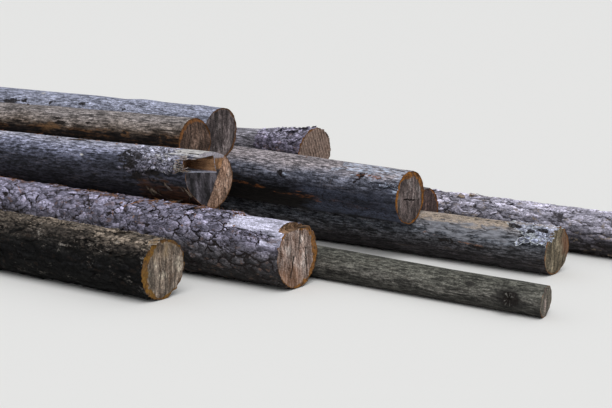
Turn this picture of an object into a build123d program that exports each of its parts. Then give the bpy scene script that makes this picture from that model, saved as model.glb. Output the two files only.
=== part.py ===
from build123d import *
import math
import os
from dataclasses import dataclass

# A stack of round logs lying on level ground, all along X, with their cut ends towards +X.
# Lengths are in millimetres, angles in degrees. Y runs from the front of the stack to its back.
# Each log is a ruled loft through slightly uneven round sections, every one in a plane square to X,
# so the gap between two neighbours can be worked out section by section.

log_length = 3000
pole_length = 2000
rear_log_length = 4000
seat_clearance = 0.3
front_log_turn = 1.9

section_points = 12
section_shares = (-0.02, 0.04, 0.1, 0.3, 0.55, 0.8, 1.02)
solve_rounds = 40

# The notched log's end: a felling cut that slopes away from a leaning line across the end,
# and above it a pocket in the front, between a flat ledge and the roof left over it
felling_slope = 28
felling_line_lean = 24
pocket_ledge_height = 45
pocket_roof_height = 110
pocket_wall_offset = 8
pocket_inner_length = 195
pocket_mouth_length = 100

# The stepped log's end: its top is cut back to a ledge
step_height = 118
step_depth = 45


@dataclass
class Log:
    name: str
    right_end: float
    right_radius: float
    left_radius: float
    length: float = log_length
    oval: float = 2.0
    oval_turn: float = 30
    lobe: float = 0.8
    lobe_turn: float = 0
    bow_y: float = 0
    bow_z: float = 0
    flare: float = 0
    flare_length: float = 200
    cut_turn: float = 0
    cut_lean: float = 0
    far_cut_turn: float = 0
    far_cut_lean: float = 0
    right_y: float = 0
    right_z: float = 0
    left_y: float = 0
    left_z: float = 0

    @property
    def left_end(self):
        return self.right_end - self.length

    def straight_between_sections(self, curve, t):
        """Value at t of a curve that the ruled loft follows by straight lines between sections."""
        pairs = zip(section_shares, section_shares[1:])
        start, end = next(pair for pair in pairs if t <= pair[1] or pair[1] == section_shares[-1])
        return curve(start) + (curve(end) - curve(start)) * (t - start) / (end - start)

    def center(self, x):
        t = (self.right_end - x) / self.length
        arch = self.straight_between_sections(lambda share: 4 * share * (1 - share), t)
        y = self.right_y + (self.left_y - self.right_y) * t + self.bow_y * arch
        z = self.right_z + (self.left_z - self.right_z) * t + self.bow_z * arch
        return y, z

    def radius(self, angle, x):
        t = (self.right_end - x) / self.length
        mean = self.right_radius + (self.left_radius - self.right_radius) * t
        if self.flare:
            mean += self.flare * self.straight_between_sections(self.flare_share, t)
        oval = self.oval * math.cos(2 * (angle - math.radians(self.oval_turn)))
        lobe = self.lobe * math.cos(3 * (angle - math.radians(self.lobe_turn)))
        return mean + oval + lobe

    def flare_share(self, share):
        return math.exp(-share * self.length / self.flare_length)

    def point(self, angle, x):
        y, z = self.center(x)
        r = self.radius(angle, x)
        return y + r * math.cos(angle), z + r * math.sin(angle)

    def lowest(self, x):
        angles = [math.radians(270 + step) for step in range(-16, 17, 2)]
        return min(self.point(angle, x)[1] for angle in angles)


# The logs that show, named by their place or by what marks them
front_log = Log("stepped_front_log", 1395, 158, 168, bow_z=3, cut_lean=-3)
outer_log = Log("outer_front_log", 1027, 139, 146, oval_turn=70, lobe_turn=20, cut_turn=-3, cut_lean=2)
notched_log = Log("notched_log", 805, 140, 140, bow_z=-4, oval_turn=110, cut_turn=0.8, cut_lean=3)
long_log = Log("long_upper_log", 1538, 134, 147, oval_turn=55, lobe_turn=35, cut_turn=-1.5, cut_lean=-2)
top_front_log = Log("top_front_log", 493, 126, 130, oval_turn=80, cut_turn=-2.4, cut_lean=-2)
top_rear_log = Log("top_rear_log", 443, 140, 145, oval_turn=20, lobe_turn=60, cut_turn=-1, cut_lean=2)
flared_log = Log(
    "flared_rear_log", 540, 112, 110, flare=36, flare_length=350, oval_turn=65, cut_turn=-5, cut_lean=3,
)
ragged_log = Log("ragged_end_log", 2269, 116, 112, oval_turn=140, cut_turn=-4, cut_lean=5)
rear_log = Log("long_rear_log", 2490, 113, 118, length=rear_log_length, bow_y=6, oval_turn=100)
dark_log = Log("dark_rear_log", 1389, 148, 151, oval_turn=10, lobe_turn=45, cut_turn=2, cut_lean=3)
pole = Log("thin_pole", 2551, 70, 81, length=pole_length, oval=1, bow_y=-5, cut_turn=6, cut_lean=4)

# The logs that nothing shows, which carry the others
hidden_front_log = Log("hidden_ground_log_front", 340, 161, 163, oval_turn=60)
hidden_middle_log = Log("hidden_ground_log_middle", 340, 136, 144, oval_turn=150)
hidden_upper_log = Log("hidden_upper_log", 240, 112, 114, oval_turn=90)


def gap(one, other, x):
    """Smallest distance between two logs in the plane at x, below zero where they overlap."""
    y, z = one.center(x)
    other_y, other_z = other.center(x)
    towards = math.atan2(z - other_z, y - other_y)
    nearest = math.inf
    for step in range(-24, 25, 3):
        py, pz = other.point(towards + math.radians(step), x)
        reach = math.hypot(py - y, pz - z)
        nearest = min(nearest, reach - one.radius(math.atan2(pz - z, py - y), x))
    return nearest


def shared_halves(one, other):
    """Stations along the length that two logs share, in a right half and a left half."""
    right = min(one.right_end, other.right_end)
    left = max(one.left_end, other.left_end)
    count = 6
    stations = [right + (left - right) * step / (2 * count - 1) for step in range(2 * count)]
    return stations[:count], stations[count:]


def lay_on_ground(log):
    """Set both ends' heights so that the log's lowest points in each half are at zero."""
    for _ in range(solve_rounds):
        for start in (0, 0.5):
            stations = [log.right_end - log.length * (start + 0.5 * step / 6) for step in range(7)]
            drop = min(log.lowest(x) for x in stations)
            if start == 0:
                log.right_z -= drop
            else:
                log.left_z -= drop


def lay_beside(log, neighbour, side, right_gap, left_gap):
    """Lay a log on the ground beside another, side +1 behind it or -1 in front of it."""
    start = neighbour.right_y + side * (neighbour.right_radius + log.right_radius)
    log.right_y = log.left_y = start
    log.right_z = log.left_z = log.right_radius
    lay_on_ground(log)
    right_half, left_half = shared_halves(log, neighbour)
    right = right_half[0]
    left = left_half[-1]
    for _ in range(solve_rounds):
        right_miss = side * (right_gap - gap(log, neighbour, right))
        left_miss = side * (left_gap - gap(log, neighbour, left))
        slope = (right_miss - left_miss) / (right - left)
        log.right_y += right_miss + slope * (log.right_end - right)
        log.left_y += left_miss + slope * (log.left_end - left)
    lay_on_ground(log)


def seat_on(log, front, back):
    """Lower a log into the valley between two others until it is a clearance away from both."""
    log.right_y = log.left_y = (front.center(log.right_end)[0] + back.center(log.right_end)[0]) / 2
    log.right_z = log.left_z = front.right_z + front.right_radius + log.right_radius
    front_halves = shared_halves(log, front)
    back_halves = shared_halves(log, back)
    for _ in range(solve_rounds):
        for half in (0, 1):
            front_x = min(front_halves[half], key=lambda x: gap(log, front, x))
            back_x = min(back_halves[half], key=lambda x: gap(log, back, x))
            ay, az = unit_from(front, log, front_x)
            by, bz = unit_from(back, log, back_x)
            front_miss = seat_clearance - gap(log, front, front_x)
            back_miss = seat_clearance - gap(log, back, back_x)
            spread = ay * bz - az * by
            dy = (front_miss * bz - back_miss * az) / spread
            dz = (ay * back_miss - by * front_miss) / spread
            if half == 0:
                log.right_y += dy
                log.right_z += dz
            else:
                log.left_y += dy
                log.left_z += dz


def unit_from(support, log, x):
    support_y, support_z = support.center(x)
    y, z = log.center(x)
    distance = math.hypot(y - support_y, z - support_z)
    return (y - support_y) / distance, (z - support_z) / distance


def overlaps(log, others):
    for other in others:
        right_half, left_half = shared_halves(log, other)
        if any(gap(log, other, x) < 0 for x in right_half + left_half):
            return True
    return False


def seat_clear_of(log, pairs, others):
    """Seat the log on the first pair that leaves it clear of the others, or else on the last."""
    for front, back in pairs:
        seat_on(log, front, back)
        if not overlaps(log, others):
            return


def arrange():
    """Lay the ground row from front to back, then settle the upper logs into its valleys."""
    turned = math.tan(math.radians(front_log_turn)) * front_log.length
    front_log.left_y = -turned
    front_log.right_z = front_log.left_z = front_log.right_radius
    lay_on_ground(front_log)
    lay_beside(outer_log, front_log, -1, right_gap=208, left_gap=122)
    lay_beside(pole, front_log, 1, right_gap=12, left_gap=55)
    lay_beside(hidden_front_log, front_log, 1, right_gap=1, left_gap=54)
    lay_beside(hidden_middle_log, hidden_front_log, 1, right_gap=21, left_gap=89)
    lay_beside(ragged_log, hidden_middle_log, 1, right_gap=40, left_gap=2)
    lay_beside(dark_log, ragged_log, 1, right_gap=seat_clearance, left_gap=1)
    lay_beside(rear_log, dark_log, 1, right_gap=seat_clearance, left_gap=2)
    seat_on(notched_log, front_log, hidden_front_log)
    seat_on(hidden_upper_log, hidden_front_log, hidden_middle_log)
    long_log_carriers = [(hidden_middle_log, ragged_log), (hidden_upper_log, ragged_log)]
    seat_clear_of(long_log, long_log_carriers, [hidden_upper_log, hidden_middle_log])
    seat_on(flared_log, dark_log, rear_log)
    seat_on(top_front_log, notched_log, hidden_upper_log)
    top_log_carriers = [
        (hidden_upper_log, long_log), (top_front_log, long_log), (top_front_log, hidden_upper_log),
    ]
    seat_clear_of(top_rear_log, top_log_carriers, [top_front_log, hidden_upper_log, long_log])


def section(log, x):
    """A closed smooth outline of the log in the plane at x."""
    points = []
    for step in range(section_points):
        y, z = log.point(2 * math.pi * step / section_points, x)
        points.append((x, y, z))
    return Wire([Edge.make_spline([Vector(*point) for point in points], periodic=True)])


def trunk(log):
    """The log's body, a little over length at both ends, ready to be cut off."""
    stations = [log.right_end - share * log.length for share in section_shares]
    return Solid.make_loft([section(log, x) for x in stations], ruled=True)


def saw_through(solid, log, x, turn, lean, side):
    """Cut an end off square to the log but for the saw's turn about Z and lean about Y."""
    y, z = log.center(x)
    block_size = 4 * (log.right_radius + log.flare)
    block = Solid.make_box(block_size, block_size, block_size)
    block = block.moved(Location((0 if side > 0 else -block_size, -block_size / 2, -block_size / 2)))
    block = block.moved(Location((x, y, z), (0, lean, turn)))
    return solid.cut(block)


def fell(solid, log):
    """Slope the front half of the end away from a leaning line through the axis."""
    y, z = log.center(log.right_end)
    lean = math.radians(felling_line_lean)
    slope = math.radians(felling_slope)
    normal = Vector(math.cos(slope), -math.sin(slope) * math.cos(lean), math.sin(slope) * math.sin(lean))
    line = Vector(0, math.sin(lean), math.cos(lean))
    size = 4 * log.right_radius
    plane = Plane(origin=(log.right_end, y, z), x_dir=line, z_dir=normal)
    corner = plane.from_local_coords(Vector(-size / 2, -size / 2, 0))
    block_plane = Plane(origin=corner, x_dir=line, z_dir=normal)
    return solid.cut(Solid.make_box(size, size, size, block_plane))


def hollow_pocket(solid, log):
    """Cut the pocket above the ledge, open to the front and to the end, with a slanted inner end."""
    y, z = log.center(log.right_end)
    front = y - 2 * log.right_radius
    wall = y + pocket_wall_offset
    slant = (pocket_inner_length - pocket_mouth_length) / (pocket_wall_offset + log.right_radius)
    past_mouth = pocket_inner_length - slant * (wall - front)
    outside = log.right_end + log.right_radius
    outline = [
        (outside, front), (log.right_end - past_mouth, front),
        (log.right_end - pocket_inner_length, wall), (outside, wall),
    ]
    floor = z + pocket_ledge_height
    corners = [Vector(px, py, floor) for px, py in outline]
    height = pocket_roof_height - pocket_ledge_height
    return solid.cut(Solid.extrude(Face(Wire.make_polygon(corners)), Vector(0, 0, height)))


def step_back(solid, log):
    """Cut the top of the end back to a level ledge."""
    y, z = log.center(log.right_end)
    size = 4 * log.right_radius
    block = Solid.make_box(size, size, size).moved(Location((0, -size / 2, 0)))
    return solid.cut(block.moved(Location((log.right_end - step_depth, y, z + step_height))))


def build(log):
    solid = trunk(log)
    solid = saw_through(solid, log, log.right_end, log.cut_turn, log.cut_lean, 1)
    solid = saw_through(solid, log, log.left_end, log.far_cut_turn, log.far_cut_lean, -1)
    if log is notched_log:
        solid = hollow_pocket(fell(solid, log), log)
    if log is front_log:
        solid = step_back(solid, log)
    return solid


logs = [
    front_log, outer_log, notched_log, long_log, top_front_log, top_rear_log, flared_log,
    ragged_log, rear_log, dark_log, pole, hidden_front_log, hidden_middle_log, hidden_upper_log,
]
arrange()
shapes = [build(log) for log in logs]
box = Compound(children=[Part() + shape for shape in shapes]).bounding_box()
middle = Location((-(box.min.X + box.max.X) / 2, -(box.min.Y + box.max.Y) / 2, -box.min.Z))
os.makedirs("parts", exist_ok=True)
for log, shape in zip(logs, shapes):
    export_step(Part() + shape.moved(middle), f"parts/{log.name}.step")
    print(log.name, [round(v, 1) for v in (log.right_y, log.right_z, log.left_y, log.left_z)])
print("moved by", middle.position)
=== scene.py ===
import itertools
import math

import bpy
import numpy as np
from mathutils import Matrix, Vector
from mathutils.bvhtree import BVHTree


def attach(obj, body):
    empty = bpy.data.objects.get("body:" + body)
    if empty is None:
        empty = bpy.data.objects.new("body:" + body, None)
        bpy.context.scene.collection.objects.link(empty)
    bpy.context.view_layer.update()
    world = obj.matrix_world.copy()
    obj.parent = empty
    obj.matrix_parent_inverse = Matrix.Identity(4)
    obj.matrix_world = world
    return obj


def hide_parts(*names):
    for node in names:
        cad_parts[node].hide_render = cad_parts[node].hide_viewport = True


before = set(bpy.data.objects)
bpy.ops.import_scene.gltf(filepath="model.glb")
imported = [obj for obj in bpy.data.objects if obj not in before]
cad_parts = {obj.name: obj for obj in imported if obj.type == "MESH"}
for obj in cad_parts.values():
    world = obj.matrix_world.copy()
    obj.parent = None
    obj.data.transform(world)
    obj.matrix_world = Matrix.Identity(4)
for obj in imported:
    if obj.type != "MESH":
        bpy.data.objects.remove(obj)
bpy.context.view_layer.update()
fullTurn = 2 * math.pi


def inScene(name, data):
    item = bpy.data.objects.new(name, data)
    bpy.context.scene.collection.objects.link(item)
    return item


# Camera, light and floor

viewSettings = dict(
    place=(5.0401, -5.3741, 1.6),   # a standing person's eye, in front and to the right
    tilt=78.81, turn=35.28, lens=79.59, sensor=36.0, reach=300)

roomSettings = dict(
    floorColor=(0.84, 0.835, 0.82), floorRadius=90.0, floorSides=96, floorRough=0.95, floorShine=0.1,
    skyColor=(0.97, 0.985, 1.0), skyStrength=0.5, backColor=(0.85, 0.85, 0.85),
    sunFrom=(0.5, -0.42, 1.0), sunStrength=1.7, sunSoftness=50.0)


def placeCamera(settings):
    lens = bpy.data.cameras.new("photoCamera")
    lens.lens, lens.sensor_width, lens.clip_end = settings["lens"], settings["sensor"], settings["reach"]
    camera = inScene("photoCamera", lens)
    camera.location = settings["place"]
    camera.rotation_euler = (math.radians(settings["tilt"]), 0, math.radians(settings["turn"]))
    bpy.context.scene.camera = camera


def hangSun(settings):
    lamp = bpy.data.lights.new("softSun", "SUN")
    lamp.energy, lamp.angle = settings["sunStrength"], math.radians(settings["sunSoftness"])
    toward = -Vector(settings["sunFrom"])
    inScene("softSun", lamp).rotation_euler = toward.to_track_quat("-Z", "Y").to_euler()


# Shader maths: a socket that sums and products work on, and the tree it lives in


class Wire:
    def __init__(self, tree, socket):
        self.tree, self.socket = tree, socket

    def joined(self, other, operation, swapped=False):
        node = self.tree.nodes.new("ShaderNodeMath")
        node.operation = operation
        for socket, value in zip(node.inputs, (other, self) if swapped else (self, other)):
            if isinstance(value, Wire):
                self.tree.links.new(value.socket, socket)
            else:
                socket.default_value = value
        return Wire(self.tree, node.outputs[0])

    def __add__(self, other):
        return self.joined(other, "ADD")

    def __sub__(self, other):
        return self.joined(other, "SUBTRACT")

    def __rsub__(self, other):
        return self.joined(other, "SUBTRACT", True)

    def __mul__(self, other):
        return self.joined(other, "MULTIPLY")

    def __truediv__(self, other):
        return self.joined(other, "DIVIDE")

    def __abs__(self):
        return self.joined(0, "ABSOLUTE")

    __radd__, __rmul__ = __add__, __mul__

    def most(self, other):
        return self.joined(other, "MAXIMUM")

    def wave(self):
        return self.joined(0, "SINE")

    def spread(self):
        node = self.tree.nodes.new("ShaderNodeVectorMath")
        node.operation = "LENGTH"
        self.tree.links.new(self.socket, node.inputs[0])
        return Wire(self.tree, node.outputs["Value"])


def patternShift(seed):
    return tuple(seed * share % 17 for share in (1.37, 2.11, 0.83))   # so no two logs share a pattern


class Recipe:
    def __init__(self, name, seed=0):
        self.material = bpy.data.materials.new(name)
        self.material.use_nodes = True
        self.tree = self.material.node_tree
        self.tree.nodes.clear()
        self.shift = patternShift(seed)

    def node(self, kind, settings=None, sockets=None, output=0):
        node = self.tree.nodes.new(kind if kind.startswith(("Geometry", "Function")) else "ShaderNode" + kind)
        for key, value in (settings or {}).items():
            setattr(node, key, value)
        for key, value in (sockets or {}).items():
            if isinstance(value, Wire):
                self.tree.links.new(value.socket, node.inputs[key])
            else:
                node.inputs[key].default_value = value
        return Wire(self.tree, node.outputs[output]) if len(node.outputs) else None

    def attribute(self, name, output="Fac"):
        return self.node("Attribute", {"attribute_name": name}, output=output)

    def vector(self, operation, first, second):
        return self.node("VectorMath", {"operation": operation}, {0: first, 1: second})

    def axis(self, value, letter="X"):
        return self.node("SeparateXYZ", None, {0: value}, letter)

    def placed(self, space, scale):
        return self.node("VectorMath", {"operation": "MULTIPLY_ADD"}, {0: space, 1: scale, 2: self.shift})

    def noise(self, space, scale, detail=4.0, roughness=0.6, output=0):
        sockets = {"Vector": self.placed(space, scale), "Scale": 1.0, "Detail": detail, "Roughness": roughness}
        return self.node("TexNoise", None, sockets, output)

    def cells(self, placed, feature, output):
        return self.node("TexVoronoi", {"feature": feature}, {"Vector": placed, "Scale": 1.0}, output)

    def band(self, value, low, high, first=0.0, last=1.0):
        sockets = {"Value": value, "From Min": low, "From Max": high, "To Min": first, "To Max": last}
        return self.node("MapRange", {"interpolation_type": "SMOOTHSTEP"}, sockets)

    def uneven(self, noise, amount, width=0.14):
        return self.band(noise, 0.5 - width, 0.5 + width, 1 - amount, 1 + amount)

    def ramp(self, value, tones):
        # tones run from -1 underneath to 1 on top; on the skins the darker undersides are painted shade
        wire = self.node("ValToRGB", None, {"Fac": value * 0.5 + 0.5})
        stops = wire.socket.node.color_ramp.elements
        while len(stops) < len(tones):
            stops.new(0.5)
        for stop, (level, color) in zip(stops, tones):
            stop.position, stop.color = (level + 1) / 2, (*color, 1)
        return wire

    def mix(self, factor, first, last, blend="MIX"):
        node = self.tree.nodes.new("ShaderNodeMix")
        node.data_type, node.blend_type, node.clamp_factor = "RGBA", blend, True
        for index, value in ((0, factor), (6, first), (7, last)):
            if isinstance(value, Wire):
                self.tree.links.new(value.socket, node.inputs[index])
            else:
                node.inputs[index].default_value = (*value, 1) if index else value
        return Wire(self.tree, node.outputs[2])

    def shaded(self, color, amount):
        return self.mix(1.0, color, amount, "MULTIPLY")

    def surface(self, color, roughness, shine, **more):
        sockets = {"Base Color": color, "Roughness": roughness, "Specular IOR Level": shine, **more}
        self.node("OutputMaterial", None, {"Surface": self.node("BsdfPrincipled", None, sockets)})
        return self.material

    def finish(self, color, roughness, bump, depth, strength=1.0, shine=0.25):
        normal = self.node("Bump", None, {"Height": bump, "Distance": depth, "Strength": strength})
        return self.surface(color, roughness, shine, Normal=normal)


class Growth(Recipe):
    # a Geometry Nodes tree with named sizes, run once on a piece
    def __init__(self, name, sizes, seed=0):
        self.tree = bpy.data.node_groups.new(name, "GeometryNodeTree")
        self.shift = patternShift(seed)
        self.sizes = sizes
        self.tree.interface.new_socket("Geometry", in_out="INPUT", socket_type="NodeSocketGeometry")
        self.tree.interface.new_socket("Geometry", in_out="OUTPUT", socket_type="NodeSocketGeometry")
        for name, value in sizes.items():
            kind = {float: "Float", int: "Int"}.get(type(value), type(value).__name__)
            self.tree.interface.new_socket(name, in_out="INPUT", socket_type="NodeSocket" + kind)
        self.inputs = self.tree.nodes.new("NodeGroupInput")

    def size(self, name):
        return Wire(self.tree, self.inputs.outputs[name])

    def attribute(self, name, kind="FLOAT"):
        return self.node("GeometryNodeInputNamedAttribute", {"data_type": kind}, {"Name": name})

    def chance(self, low, high, seed):
        return self.node("FunctionNodeRandomValue", {"data_type": "FLOAT"}, {2: low, 3: high, "Seed": seed}, 1)

    def grow(self, piece, geometry):
        output = self.tree.nodes.new("NodeGroupOutput")
        self.tree.links.new(geometry.socket, output.inputs["Geometry"])
        modifier = piece.modifiers.new(self.tree.name, "NODES")
        modifier.node_group = self.tree
        for item in self.tree.interface.items_tree:
            if item.in_out == "INPUT" and item.name in self.sizes:
                modifier[item.identifier] = self.sizes[item.name]
        return evaluatedMesh(piece)


def evaluatedMesh(piece):
    mesh = bpy.data.meshes.new_from_object(piece.evaluated_get(bpy.context.evaluated_depsgraph_get()))
    piece.modifiers.clear()
    return mesh


def makeFloor(settings):
    mesh = bpy.data.meshes.new("floor")
    turns = np.linspace(0, fullTurn, settings["floorSides"], endpoint=False)
    rim = [(settings["floorRadius"] * math.cos(a), settings["floorRadius"] * math.sin(a), 0) for a in turns]
    mesh.from_pydata(rim, [], [tuple(range(len(rim)))])
    floor = inScene("floor", mesh)
    color = (*settings["floorColor"], 1)
    mesh.materials.append(Recipe("paleFloor").surface(color, settings["floorRough"], settings["floorShine"]))


def makeSky(settings):
    world = bpy.data.worlds.new("studio")
    world.use_nodes = True
    bpy.context.scene.world = world
    tree = world.node_tree
    tree.nodes.clear()
    light, back = (tree.nodes.new("ShaderNodeBackground") for _ in range(2))
    light.inputs["Color"].default_value = (*settings["skyColor"], 1)
    light.inputs["Strength"].default_value = settings["skyStrength"]
    back.inputs["Color"].default_value = (*settings["backColor"], 1)
    path, mix = tree.nodes.new("ShaderNodeLightPath"), tree.nodes.new("ShaderNodeMixShader")
    output = tree.nodes.new("ShaderNodeOutputWorld")
    for source, target in ((path.outputs["Is Camera Ray"], mix.inputs[0]), (light.outputs[0], mix.inputs[1]),
                           (back.outputs[0], mix.inputs[2]), (mix.outputs[0], output.inputs["Surface"])):
        tree.links.new(source, target)


bpy.context.scene.view_settings.view_transform = "Standard"
placeCamera(viewSettings)
makeSky(roomSettings)
hangSun(roomSettings)
makeFloor(roomSettings)
print("camera, light and floor are set")


# Noise and patterns that the relief is made from, the same on each run


def lattice(points, seed):
    x, y, z = (points[..., k].astype(np.int64) for k in range(3))
    mixed = ((x * 73856093) ^ (y * 19349663) ^ (z * 83492791) ^ (seed * 2654435761)) & 0xFFFFFFFF
    mixed = ((mixed ^ (mixed >> 15)) * 2246822519) & 0xFFFFFFFF
    mixed = ((mixed ^ (mixed >> 13)) * 3266489917) & 0xFFFFFFFF
    return (mixed ^ (mixed >> 16)) / 4294967296


def softNoise(points, seed):
    whole = np.floor(points)
    part = points - whole
    part = part * part * (3 - 2 * part)
    total = 0
    for corner in itertools.product((0, 1), repeat=3):
        weight = np.prod(np.where(corner, part, 1 - part), axis=-1)
        total = total + weight * lattice(whole + corner, seed)
    return 2 * total - 1


def layeredNoise(points, seed, layers=3):
    total, size = 0, 1.0
    for layer in range(layers):
        total = total + size * softNoise(points * 2**layer + 7.3 * layer, seed + layer)
        size /= 2
    return total


def lineNoise(values, scale, seed):
    return layeredNoise(np.stack([values * scale, values * 0 + 0.5 * seed, values * 0], -1), seed, 2)


def smoothStep(low, high, value):
    share = np.clip((value - low) / (high - low), 0, 1)
    return share * share * (3 - 2 * share)


def turnFrom(angle, degrees):
    return (angle - math.radians(degrees) + math.pi) % fullTurn - math.pi


# A CAD log's axis, outline and end planes, measured from its mesh

measureSettings = dict(
    stations=30, rays=48, waves=(1, 2, 3),
    ends=0.03,       # how near its end a log's cut face lies, and how far from it the outline is measured
    facing=0.97, beyond=0.5)


class LogShape:
    def __init__(self, node, settings, cutBack):
        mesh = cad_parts[node].data
        corners = np.array([v.co[:] for v in mesh.vertices])
        triangles = np.array([p.vertices[:] for p in mesh.polygons])
        self.waves, ends = settings["waves"], settings["ends"]
        self.left, self.right = corners[:, 0].min(), corners[:, 0].max()
        self.planes = {-1: self.cutPlane(corners[triangles], -1, self.left + ends, settings["facing"]),
                       1: self.cutPlane(corners[triangles], 1, self.right - ends, settings["facing"])}
        tree = BVHTree.FromPolygons(corners.tolist(), triangles.tolist())
        self.knots = np.linspace(self.left + ends, self.right - (cutBack or ends), settings["stations"])
        self.rows = np.array([self.outlineAt(tree, x, settings["rays"]) for x in self.knots])
        beyond = settings["beyond"]
        for at, other, x in ((0, 3, self.knots[0] - beyond), (-1, -4, self.knots[-1] + beyond)):
            slope = (self.rows[at] - self.rows[other]) / (self.knots[at] - self.knots[other])
            row = self.rows[at] + slope * (x - self.knots[at])
            self.knots = np.insert(self.knots, 0 if at == 0 else len(self.knots), x)
            self.rows = np.insert(self.rows, 0 if at == 0 else len(self.rows), row, axis=0)
        self.axisEnd = {side: self.cutX(side, *self.centre(np.array(self.planes[side][0][0]))) for side in (-1, 1)}

    def cutPlane(self, points, side, limit, least):
        cross = np.cross(points[:, 1] - points[:, 0], points[:, 2] - points[:, 0])
        area = np.linalg.norm(cross, axis=1)
        facing = cross[:, 0] / np.maximum(area, 1e-12)
        chosen = (facing * side > least) & (points[:, :, 0].min(1) * side > limit * side)
        normal = (cross[chosen]).sum(0)
        middle = (points[chosen].mean(1) * area[chosen, None]).sum(0) / area[chosen].sum()
        return middle, normal / np.linalg.norm(normal)

    def outlineAt(self, tree, x, rays):
        angles = np.arange(rays) / rays * fullTurn
        start, end = self.planes[-1][0], self.planes[1][0]
        y, z = start[1:] + (end[1:] - start[1:]) * ((x - start[0]) / (end[0] - start[0]))
        for _ in range(3):
            hits = [tree.ray_cast((x, y, z), (0, math.cos(a), math.sin(a)))[0] for a in angles]
            outline = np.array([hit[1:] for hit in hits])
            y, z = outline.mean(0)
        reach = np.hypot(outline[:, 0] - y, outline[:, 1] - z)
        turned = np.arctan2(outline[:, 1] - z, outline[:, 0] - y)
        waves = [np.ones(rays)] + [f(k * turned) for k in self.waves for f in (np.cos, np.sin)]
        return [y, z, *np.linalg.lstsq(np.stack(waves, 1), reach, rcond=None)[0]]

    def at(self, x):
        return [np.interp(x, self.knots, self.rows[:, k]) for k in range(self.rows.shape[1])]

    def centre(self, x):
        return self.at(x)[:2]

    def radius(self, x, angle):
        row = self.at(x)[2:]
        total = row[0]
        for k in self.waves:
            total = total + row[2 * k - 1] * np.cos(k * angle) + row[2 * k] * np.sin(k * angle)
        return total

    def cutX(self, side, y, z):
        middle, normal = self.planes[side]
        return middle[0] - ((y - middle[1]) * normal[1] + (z - middle[2]) * normal[2]) / normal[0]

    def edgeX(self, side, angle):
        x = np.full(angle.shape, self.planes[side][0][0])
        for _ in range(3):
            y, z = self.centre(x)
            r = self.radius(x, angle)
            x = self.cutX(side, y + r * np.cos(angle), z + r * np.sin(angle))
        return x

    def place(self, s, angle, rise):
        x = s + self.right
        y, z = self.centre(x)
        reach = self.radius(x, angle) + rise
        return np.stack([x, y + reach * np.cos(angle), z + reach * np.sin(angle)], -1)

    def local(self, places):
        y, z = self.centre(places[:, 0])
        space = np.stack([places[:, 0] - self.right, places[:, 1] - y, places[:, 2] - z], -1)
        angle = np.arctan2(space[:, 2], space[:, 1]) % fullTurn
        return space, angle, self.radius(places[:, 0], angle)


# Relief of a log's skin: wood grain, knots, cracks and patches


def patch(kind, span, angles, **more):
    # the kinds bare and bark take the skin off or leave it on, ledge only sinks it, the others are colours
    hard = kind in ("bare", "bark", "ledge")
    return {"kind": kind, "span": span, "angles": angles, "soft": 0.004 if hard else 0.014,
            "ragged": 0.012, "grain": (14, 40, 40), "slant": 0.0, "amount": 1.0, "rise": 0.0, **more}


def insidePatch(area, s, angle, radius, spot, seed):
    # metres inside the patch's ragged edge, below zero outside
    low, high = area["angles"]
    lean = area["slant"] * (s - sum(area["span"]) / 2)
    turn = turnFrom(angle - np.radians(lean), (low + high) / 2)
    half = math.radians(high - low) / 2
    inside = np.minimum(np.minimum(s - area["span"][0], area["span"][1] - s), (half - abs(turn)) * radius)
    return inside + area["ragged"] * layeredNoise(spot * area["grain"], seed)


def woodRelief(looks, spot):
    swell = layeredNoise(spot * (1.7, 9, 9), looks["seed"] + 31, 2)
    dents = np.clip(layeredNoise(spot * (9, 24, 24), looks["seed"] + 33, 2) - 0.35, 0, 1)
    grain = layeredNoise(spot * (5, 55, 55), looks["seed"] + 37, 3)
    return looks["swell"] * (swell - 0.5) - looks["dent"] * dents + looks["grain"] * grain


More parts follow.
